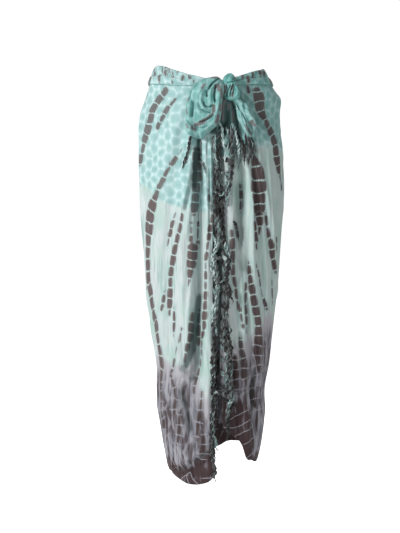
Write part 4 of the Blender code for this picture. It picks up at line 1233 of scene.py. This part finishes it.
LOOP_CLEARANCE = 0.0100
LOOP_OVER_ROLL = 0.0115
LOOP_FRONT = 0.0310
LOOP_BACK = 0.0040
LOOP_FLATNESS = 4.0
LOOP_DYE = -0.64
LOOP_OUTLINE = (
    (15, 11), (25, 3), (32, -10), (33, -26), (30, -42), (27, -66), (25, -90), (21, -106),
    (12, -118), (-1, -130), (-14, -143), (-28, -149), (-47, -143), (-59, -135), (-64, -118),
    (-63, -92), (-60, -58), (-52, -29), (-41, -10), (-19, 5), (0, 10),
)
LOOP_MIDDLE = (-15, -69)
LOOP_FOLDS = (
    # The upper flap and the tube under it, which run up into the knot.
    (((28, 7), (13, 1), (1, -13), (-8, -31)), 3.5, 4.5, -12.0),
    (((22, -4), (9, -12), (2, -23), (-1, -36)), 5, 5, 6.0),
    (((11, -10), (9, -26), (8, -44), (10, -60)), 3.5, 3.5, -17.0),
    (((24, 0), (22, -21), (19, -41), (18, -62), (13, -82), (3, -100)), 8, 9, 9.0),
    # The hollow in the middle, and the small folds that close it below.
    (((-9, -26), (-9, -45)), 4.5, 4.0, -12.0),
    (((-1, -31), (0, -49), (-1, -59)), 4, 4, 4.5),
    (((-18, -52), (-14, -66), (-4, -70), (7, -61)), 3.5, 3.5, -9.0),
    (((-14, -24), (-22, -46), (-21, -64), (-12, -77), (1, -80)), 5, 5, 6.0),
    (((-22, -75), (-10, -83), (2, -84)), 3, 3, -7.0),
    (((-21, -87), (-8, -90), (5, -87)), 4, 4, 4.0),
    # The left side: its rim, the long hollow inside it, and the broad fold beside that.
    (((-41, -49), (-43, -74), (-46, -100)), 5, 8, -15.0),
    (((-15, 1), (-36, -15), (-50, -41), (-54, -72), (-56, -100), (-54, -123)), 9, 8, 6.0),
    (((-5, -8), (-22, -26), (-30, -49), (-31, -72), (-21, -94)), 7, 8, 6.0),
    (((-21, -3), (-41, -28), (-51, -59)), 3, 3, -3.0),
    # The turn at the bottom, with the crease that sets it off.
    (((-60, -90), (-51, -108), (-38, -120), (-21, -124), (-2, -114)), 4, 4, -7.0),
    (((9, -86), (-4, -97), (-17, -105), (-33, -110)), 3.5, 4, -8.0),
    (((0, -91), (-18, -99), (-36, -94)), 4, 4, 4.0),
    (((17, -95), (0, -118), (-21, -133), (-44, -133)), 9, 9, 5.0),
)
LOOP_MARKS = (
    (((-13, -12), (-19, -22)), 2.0), (((15, -15), (18, -26)), 4.0), (((24, -28), (26, -44)), 3.0),
    (((6, -67), (5, -82)), 3.0), (((22, -64), (21, -77)), 3.0), (((17, -92), (13, -108)), 4.0),
    (((3, -87), (-13, -101)), 2.2), (((-17, -106), (-31, -114), (-36, -115)), 4.5),
    (((-58, -113), (-54, -122)), 2.0), (((-44, -123), (-36, -128)), 3.0),
    (((3, 9), (21, 8)), 3.0), (((-50, -46), (-54, -54)), 1.8), (((-59, -74), (-54, -85)), 1.6),
)


def loop_base(x, z):
    """How far out the back of the loop lies: over the roll at its top, on the cloth below."""
    return WALL + LOOP_CLEARANCE + LOOP_OVER_ROLL * ease((z + 0.066) / 0.030)


bow_loop_cloth = puffed(
    "bow_loop_cloth", LOOP_OUTLINE, LOOP_MIDDLE, loop_base, LOOP_FRONT, LOOP_BACK,
    LOOP_FLATNESS, LOOP_FOLDS, LOOP_MARKS, LOOP_DYE, "bow_loop",
)


# The two tied corners. Each is the end of a gathered upper corner of the rayon, and spreads below
# the knot like a fan, in pleats that the knot holds together.

TAIL_COLUMNS = ("z", "middle_x", "half_width", "out")  # as seen, and out from the cloth
TAIL_PUFF = 5.0  # millimetres that its middle stands out further than its sides
TAIL_WALL = 0.0009
TAIL_FLAT = 0.030  # half the width of the cloth in it
TAIL_GRID = (121, 101)  # points across and down
RIGHT_TAIL_DYE = -0.55
# The middle tail is made near black teal: a painted shadow under the knot and the loop.
MIDDLE_TAIL_PAINTED_SHADOW = -2.0
RIGHT_TAIL = (
    (-146, 95.5, 3.0, 13.0),
    (-142, 95.0, 8.0, 14.0),
    (-128, 93.5, 13.0, 16.0),
    (-103, 87.0, 17.5, 19.0),
    (-77, 79.5, 17.5, 22.0),
    (-62, 73.0, 14.5, 24.0),
    (-48, 62.0, 8.0, 25.0),
)
RIGHT_TAIL_FOLDS = (
    (((53, -50), (64, -63), (77, -87), (89, -121), (95, -138)), 3.5, 4.0, -9.0),
    (((68, -62), (82, -69), (95, -79)), 2.5, 2.5, -5.0),
    (((69, -56), (87, -85), (100, -113)), 7, 6, 4.0),
    (((92, -100), (101, -121), (104, -134)), 2.5, 2.5, -4.0),
    (((90, -118), (101, -138)), 2.2, 2.2, -4.5),
    (((66, -77), (74, -105), (85, -133)), 4, 4, 4.0),
)
RIGHT_TAIL_MARKS = (
    (((97, -103), (105, -114)), 3.0), (((83, -113), (88, -128)), 2.4),
    (((92, -124), (101, -137)), 1.8),
)
MIDDLE_TAIL = (
    (-124, 44.0, 16.0, 4.0),
    (-92, 44.0, 19.0, 5.0),
    (-62, 42.0, 15.0, 9.0),
    (-44, 41.0, 9.0, 16.0),
)
MIDDLE_TAIL_FOLDS = (
    (((47, -52), (50, -82), (54, -115)), 4, 4, 6.0),
    (((54, -60), (58, -87), (62, -115)), 4, 4, -4.0),
    (((36, -49), (35, -82), (36, -118)), 8, 8, -4.0),
    (((27, -70), (29, -118)), 4, 4, 3.0),
)
MIDDLE_TAIL_MARKS = (
    (((30, -49), (28, -97)), 4.0), (((56, -80), (60, -112)), 4.0), (((44, -60), (44, -70)), 2.0),
)


def hanging_corner(name, table, folds, marks, dye, node_name):
    """A fan of pleated cloth before the front, drawn as seen."""
    across, down = np.meshgrid(np.linspace(-1, 1, TAIL_GRID[0]), np.linspace(0, 1, TAIL_GRID[1]))
    up = table[-1][0] + (table[0][0] - table[-1][0]) * down
    wide = through(table, TAIL_COLUMNS, "middle_x", up)
    wide = wide + through(table, TAIL_COLUMNS, "half_width", up) * across
    x, z = np.moveaxis(as_seen(np.stack([wide, up], axis=-1)), -1, 0)
    out = through(table, TAIL_COLUMNS, "out", up) + TAIL_PUFF * (1 - across**2)
    mesh = grid_mesh(name, on_front(x, z, out / 1000 + drawn_height(x, z, folds)))
    give(mesh, "row_side", drawn_marks(x, z, marks))
    give(mesh, "row_along", np.full(x.shape, SPOT_PITCH / 2))
    # For the middle tail this dye level paints the shadow under the knot.
    give(mesh, "dye", np.full(x.shape, dye))
    lay_flat(mesh, across * TAIL_FLAT, z)
    piece = shown(name, mesh, rayon, [node_name])
    applied(piece, "SOLIDIFY", thickness=TAIL_WALL, offset=0.0, use_even_offset=False)
    return piece


right_tail_cloth = hanging_corner(
    "right_tail_cloth", RIGHT_TAIL, RIGHT_TAIL_FOLDS, RIGHT_TAIL_MARKS, RIGHT_TAIL_DYE,
    "right_tail",
)
middle_tail_cloth = hanging_corner(
    "middle_tail_cloth", MIDDLE_TAIL, MIDDLE_TAIL_FOLDS, MIDDLE_TAIL_MARKS, MIDDLE_TAIL_PAINTED_SHADOW,
    "middle_tail",
)


# The fringe. Bundles of the cloth's own warp are knotted and twisted into cords along both short
# ends. The ends hang upright, so the cords leave their edge sideways and fall over each other.

YARN_SIDES = 7
FIRST_ROOT_Z = -0.165
ROOT_SPACING = 0.0335
CORD_STEP = 0.0028  # between the rings of a cord
CORD_LENGTHS = (0.095, 0.155)
END_CORDS = (0.0046, 0.0066)  # how thick the cords of the short ends are
CORNER_CORDS = (0.0052, 0.0072)
CORD_KNOT = 0.005
PAIR_PITCH = 0.034  # one turn of two cords round each other
TONES = [0.05, 0.25, 0.50, 0.85]  # from the darkest dye to the palest
TONE_SHARES = [0.30, 0.30, 0.25, 0.15]
# Between which lines the cords of each end fall, as seen: they draw together and spread again.
FRINGE_COLUMNS = ("z", "left_from", "left_to", "right_from", "right_to")
FRINGE = (
    (-1025, 3, 13, 30, 42),
    (-987, 5, 18, 30, 42),
    (-949, 0, 19, 30, 42),
    (-898, -2, 7, 31, 42),
    (-846, -1, 6, 31, 45),
    (-808, 0, 14, 26, 62),
    (-757, 1, 10, 36, 54),
    (-700, 4, 16, 36, 58),
    (-641, 5, 14, 25, 46),
    (-608, 2, 12, 30, 44),
    (-559, 3, 17, 29, 50),
    (-513, 8, 19, 26, 40),
    (-467, 1, 14, 29, 50),
    (-423, 13, 20, 21, 40),
    (-364, 12, 20, 21, 42),
    (-333, 10, 19, 20, 48),
    (-295, 9, 20, 23, 54),
    (-180, 8, 22, 30, 60),
)
FRINGE_Y = -0.115


def directions(path):
    """At each point of a path, the direction to its side and the one square to both."""
    heading = np.gradient(path, axis=0)
    heading = heading / np.linalg.norm(heading, axis=1)[:, None]
    side = np.cross(heading, (0.0, 1.0, 0.0))
    side = side / np.linalg.norm(side, axis=1)[:, None]
    return side, np.cross(side, heading)


def tube(centres, radii):
    """Rings of points round a line."""
    side, lift = directions(centres)
    turn = np.linspace(0, math.tau, YARN_SIDES, endpoint=False)[None, :, None]
    ring = side[:, None] * np.cos(turn) + lift[:, None] * np.sin(turn)
    return centres[:, None] + ring * radii[:, None, None]


def twisted_cord(path, thickness, rng):
    """Two plies laid round each other along a path, swelling at a knot and loose at the end."""
    pitch = rng.uniform(0.018, 0.034) * rng.choice([-1, 1])
    steps = np.linalg.norm(np.diff(path, axis=0), axis=1)
    long = np.concatenate([[0], np.cumsum(steps)])
    side, lift = directions(path)
    start = rng.uniform(0, math.tau)
    taper = ease(long / 0.006 + 0.25) * ease((long[-1] - long) / 0.030 + 0.12)
    knot_at = rng.uniform(0.45, 0.85) * long[-1]
    knot = np.exp(-(((long - knot_at) / CORD_KNOT) ** 2))
    swelling = 1 + 0.15 * np.sin(long / 0.011 + start) + 0.6 * knot
    made = []
    for i in range(2):
        turn = (start + i * math.pi + long / pitch * math.tau)[:, None]
        off = (thickness * 0.30 * taper * swelling)[:, None]
        centres = path + (side * np.cos(turn) + lift * np.sin(turn)) * off
        made.append(tube(centres, thickness * 0.29 * taper * swelling))
    return made


def cords_mesh(name, cords, tones):
    """All the cords of a fringe in one mesh, each ply with its tone of dye."""
    points, faces, tone = [], [], []
    first = 0
    for plies, values in zip(cords, tones):
        for rings, value in zip(plies, values):
            count, sides, _ = rings.shape
            index = first + np.arange(count * sides).reshape(count, sides)
            ahead = np.roll(index, -1, axis=1)
            faces += np.stack(
                [index[:-1], ahead[:-1], ahead[1:], index[1:]], axis=-1
            ).reshape(-1, 4).tolist()
            faces += [index[0][::-1].tolist(), index[-1].tolist()]
            points += rings.reshape(-1, 3).tolist()
            tone += [value] * (count * sides)
            first += count * sides
    mesh = bpy.data.meshes.new(name)
    mesh.from_pydata(points, [], faces)
    give(mesh, "tone", np.array(tone))
    merged(mesh)
    return mesh


YARN_DARK = (0.026, 0.026, 0.027)
YARN_GREY = (0.136, 0.142, 0.141)
YARN_TEAL = (0.240, 0.392, 0.378)
YARN_PALE = (0.590, 0.690, 0.680)


def dyed_yarn(name):
    """Twisted rayon yarn, dyed with the cloth, so each ply is dark and pale in turn."""
    material = bpy.data.materials.new(name)
    material.use_nodes = True
    tree = material.node_tree
    shader = tree.nodes["Principled BSDF"]
    place = tree.nodes.new("ShaderNodeTexCoord").outputs["Object"]
    tone = tree.nodes.new("ShaderNodeAttribute")
    tone.attribute_name = "tone"
    long_place = node(tree, "VectorMath", place, (1.0, 1.0, 0.30), operation="MULTIPLY")
    patches = node(tree, "TexNoise", long_place, None, 130.0, 1.0)
    threads = node(tree, "TexNoise", long_place, None, 700.0, 2.0)
    level = tone.outputs["Fac"]
    for noise, amount in ((patches, 1.5), (threads, 0.5)):
        level = maths(tree, "MULTIPLY_ADD", maths(tree, "SUBTRACT", noise, 0.5), amount, level)
    colour = mixed(tree, soft_step(tree, level, 0.05, 0.40), YARN_DARK, YARN_GREY)
    colour = mixed(tree, soft_step(tree, level, 0.42, 0.75), colour, YARN_TEAL)
    colour = mixed(tree, soft_step(tree, level, 0.72, 1.05), colour, YARN_PALE)
    tree.links.new(colour, shader.inputs["Base Color"])
    shader.inputs["Roughness"].default_value = 0.80
    shader.inputs["Specular IOR Level"].default_value = 0.25
    shader.inputs["Sheen Weight"].default_value = 0.20
    bump = tree.nodes.new("ShaderNodeBump")
    bump.inputs["Strength"].default_value = 0.7
    bump.inputs["Distance"].default_value = 0.0008
    tree.links.new(node(tree, "TexNoise", place, None, 900.0, 3.0), bump.inputs["Height"])
    tree.links.new(bump.outputs[0], shader.inputs["Normal"])
    return material


yarn = dyed_yarn("fringe yarn")


def end_fringe(name, side, last_z, seed, node_name):
    """The fringe of one short end: at each root two cords, which fall twisted together."""
    rng = np.random.default_rng(seed)
    towards = 1 if side == "left" else -1
    cords, tones = [], []
    for i, root_z in enumerate(np.arange(FIRST_ROOT_Z, last_z, -ROOT_SPACING)):
        long = min(rng.uniform(*CORD_LENGTHS), root_z - last_z + CORD_LENGTHS[0])
        lane = rng.uniform(0.05, 0.95)
        drift = rng.uniform(-0.5, 0.5)
        pair_turn = rng.uniform(0, math.tau)
        tone = rng.choice(TONES, p=TONE_SHARES)
        for k in range(2):
            t = np.linspace(0, 1, int(long / CORD_STEP))
            z = root_z - 0.006 * k - long * (1 - 0.12 * k) * t
            leave = ease(t * long / 0.022)
            at = np.clip(lane + drift * (t - 0.4), 0.0, 1.0)
            first = through(FRINGE, FRINGE_COLUMNS, side + "_from", z * 1000)
            last = through(FRINGE, FRINGE_COLUMNS, side + "_to", z * 1000)
            falls = as_seen(np.stack([first + (last - first) * at, z * 1000], -1), FRINGE_Y)[:, 0]
            turn = pair_turn + math.pi * k + t * long / PAIR_PITCH * math.tau
            edge = through(OPENING, OPENING_COLUMNS, side + "_x", z) + towards * 0.001
            x = edge + (falls - edge + 0.0030 * np.cos(turn)) * leave
            lift = 0.0032 + (0.0045 + 0.0038 * (i % 3) + 0.0030 * np.sin(turn)) * leave
            thickness = rng.uniform(*END_CORDS) * (1 - 0.25 * ease(-root_z / 0.2 - 3.5))
            cords.append(twisted_cord(on_front(x, z, lift), thickness, rng))
            tones.append([tone + rng.uniform(-0.1, 0.2) + 0.10 * k, tone - rng.uniform(0.0, 0.15)])
    return shown(name, cords_mesh(name, cords, tones), yarn, [node_name])


left_fringe_yarn = end_fringe("left_fringe_yarn", "left", -0.930, 11, "left_fringe")
right_fringe_yarn = end_fringe("right_fringe_yarn", "right", -0.820, 23, "right_fringe")


# The cords of the tied corners: a tone, and points across and up as seen and out from the cloth.
MIDDLE_CORDS = (
    (0.95, ((21, -108, 16), (28, -136, 20), (32, -180, 17), (35, -222, 12))),
    (0.80, ((38, -118, 8), (42, -154, 9), (41, -205, 9))),
    (0.90, ((51, -110, 12), (63, -141, 18), (69, -172, 16), (71, -208, 12))),
    (0.55, ((48, -116, 9), (56, -146, 13), (59, -192, 12), (55, -230, 10))),
    (0.25, ((44, -118, 7), (49, -150, 9), (50, -210, 9))),
    (0.35, ((32, -120, 8), (20, -146, 9), (5, -150, 10), (4, -175, 10), (13, -200, 10))),
    (0.65, ((28, -120, 7), (12, -142, 12), (9, -176, 12), (15, -220, 12), (17, -260, 10))),
    (0.15, ((35, -120, 7), (24, -150, 7), (22, -190, 8), (26, -240, 8))),
    (0.75, ((53, -118, 7), (68, -150, 10), (72, -200, 9), (73, -236, 8))),
    (0.20, ((57, -116, 6), (76, -150, 7), (80, -205, 7))),
    # Two loose cords of the looped corner, left of the opening.
    (0.15, ((-48, -134, 6), (-56, -172, 5), (-73, -232, 4))),
    (0.55, ((-25, -142, 6), (-26, -188, 5), (-22, -215, 5), (-11, -242, 4))),
    # Cords that hang across the opening from one side to the other.
    (0.55, ((11, -286, 14), (24, -296, 18), (40, -290, 18), (53, -300, 14))),
    (0.30, ((3, -462, 12), (14, -456, 17), (28, -462, 17), (34, -480, 14))),
    (0.45, ((8, -500, 12), (20, -517, 17), (33, -513, 17), (42, -498, 14))),
    (0.35, ((24, -640, 12), (34, -628, 18), (46, -642, 18), (38, -655, 13))),
    (0.20, ((2, -806, 12), (18, -800, 17), (40, -796, 18), (68, -800, 12))),
    (0.90, ((3, -812, 12), (9, -800, 17), (22, -806, 17))),
    (0.85, ((52, -808, 12), (54, -818, 16), (40, -836, 14), (36, -858, 12))),
    (0.10, ((56, -362, 8), (67, -380, 7), (72, -418, 5))),
)
RIGHT_CORDS = (
    (0.30, ((88, -132, 14), (93, -180, 12), (91, -228, 10))),
    (0.60, ((94, -134, 14), (102, -178, 12), (100, -216, 9))),
    (0.10, ((85, -128, 14), (83, -176, 11), (85, -222, 9))),
    (0.40, ((99, -134, 14), (108, -172, 11), (113, -204, 7))),
    (0.15, ((91, -136, 13), (97, -170, 11), (96, -205, 9))),
)


def corner_fringe(name, drawn, seed, node_name):
    """The cords of a tied corner, each on a smooth line through its points."""
    rng = np.random.default_rng(seed)
    cords, tones = [], []
    for tone, points in drawn:
        points = np.array(points, float)
        ends = np.arange(len(points))
        t = np.linspace(0, ends[-1], 20 * ends[-1])
        x, up, out = (curve(ends, points[:, i], t) for i in range(3))
        x = x + 1.2 * np.sin(t * 4 + rng.uniform(0, 6.3)) * ease(t * 2)
        x, z = as_seen(np.stack([x, up], axis=-1), FRINGE_Y).T
        path = on_front(x, z, out / 1000)
        cords.append(twisted_cord(path, rng.uniform(*CORNER_CORDS), rng))
        tones.append([tone + 0.1, tone - 0.15])
    return shown(name, cords_mesh(name, cords, tones), yarn, [node_name])


middle_corner_yarn = corner_fringe(
    "middle_tail_fringe_yarn", MIDDLE_CORDS, 31, "middle_tail_fringe"
)
right_corner_yarn = corner_fringe("right_tail_fringe_yarn", RIGHT_CORDS, 37, "right_tail_fringe")


# The studio: a lit pale floor under a white room, a large soft light from the left, a weak one
# from the right and one from behind, and the camera level with the middle of the skirt.

FLOOR_Z = -1.16
FLOOR_HALF = 30.0
floor_points = np.array(
    [[(x, y, FLOOR_Z) for x in (-FLOOR_HALF, FLOOR_HALF)] for y in (FLOOR_HALF, -FLOOR_HALF)]
)
paper = bpy.data.materials.new("studio floor")
paper.use_nodes = True
paper_shader = paper.node_tree.nodes["Principled BSDF"]
paper_shader.inputs["Base Color"].default_value = (0.92, 0.92, 0.92, 1.0)
paper_shader.inputs["Roughness"].default_value = 0.95
paper_shader.inputs["Emission Color"].default_value = (1.0, 1.0, 1.0, 1.0)
lit_paper = maths(paper.node_tree, "MULTIPLY_ADD",
                  paper.node_tree.nodes.new("ShaderNodeLightPath").outputs["Is Camera Ray"],
                  0.90, 0.10)
paper.node_tree.links.new(lit_paper, paper_shader.inputs["Emission Strength"])
floor_mesh = grid_mesh("studio_floor", floor_points)
floor_mesh.materials.append(paper)
studio_floor = bpy.data.objects.new("studio_floor", floor_mesh)
bpy.context.scene.collection.objects.link(studio_floor)

# The room looks white to the camera, and gives the cloth only part of that light.
world = bpy.data.worlds.new("studio")
world.use_nodes = True
seen_directly = world.node_tree.nodes.new("ShaderNodeLightPath").outputs["Is Camera Ray"]
room_strength = maths(world.node_tree, "MULTIPLY_ADD", seen_directly, 0.80, 0.24)
world.node_tree.nodes["Background"].inputs["Color"].default_value = (1.0, 1.0, 1.0, 1.0)
world.node_tree.links.new(
    room_strength, world.node_tree.nodes["Background"].inputs["Strength"]
)
bpy.context.scene.world = world


def soft_light(name, place, aim, size, power):
    """A square soft box that faces a point."""
    light = bpy.data.lights.new(name, "AREA")
    light.size = size
    light.energy = power
    lamp = bpy.data.objects.new(name, light)
    lamp.location = place
    lamp.rotation_euler = (Vector(aim) - Vector(place)).to_track_quat("-Z", "Y").to_euler()
    bpy.context.scene.collection.objects.link(lamp)


soft_light("key", (-2.5, -2.6, 1.1), (0.0, 0.0, -0.45), 0.9, 105.0)
soft_light("fill", (2.6, -2.4, 0.2), (0.0, 0.0, -0.5), 1.6, 8.0)
soft_light("back", (1.0, 2.6, 1.4), (0.0, 0.0, -0.4), 1.4, 28.0)

camera_data = bpy.data.cameras.new("camera")
camera_data.lens = 105.3
camera_data.sensor_width = 36.0
camera = bpy.data.objects.new("camera", camera_data)
camera.location = CAMERA
camera.rotation_euler = (math.radians(90), 0.0, 0.0)
bpy.context.scene.collection.objects.link(camera)
bpy.context.scene.camera = camera
bpy.context.scene.view_settings.view_transform = "Standard"
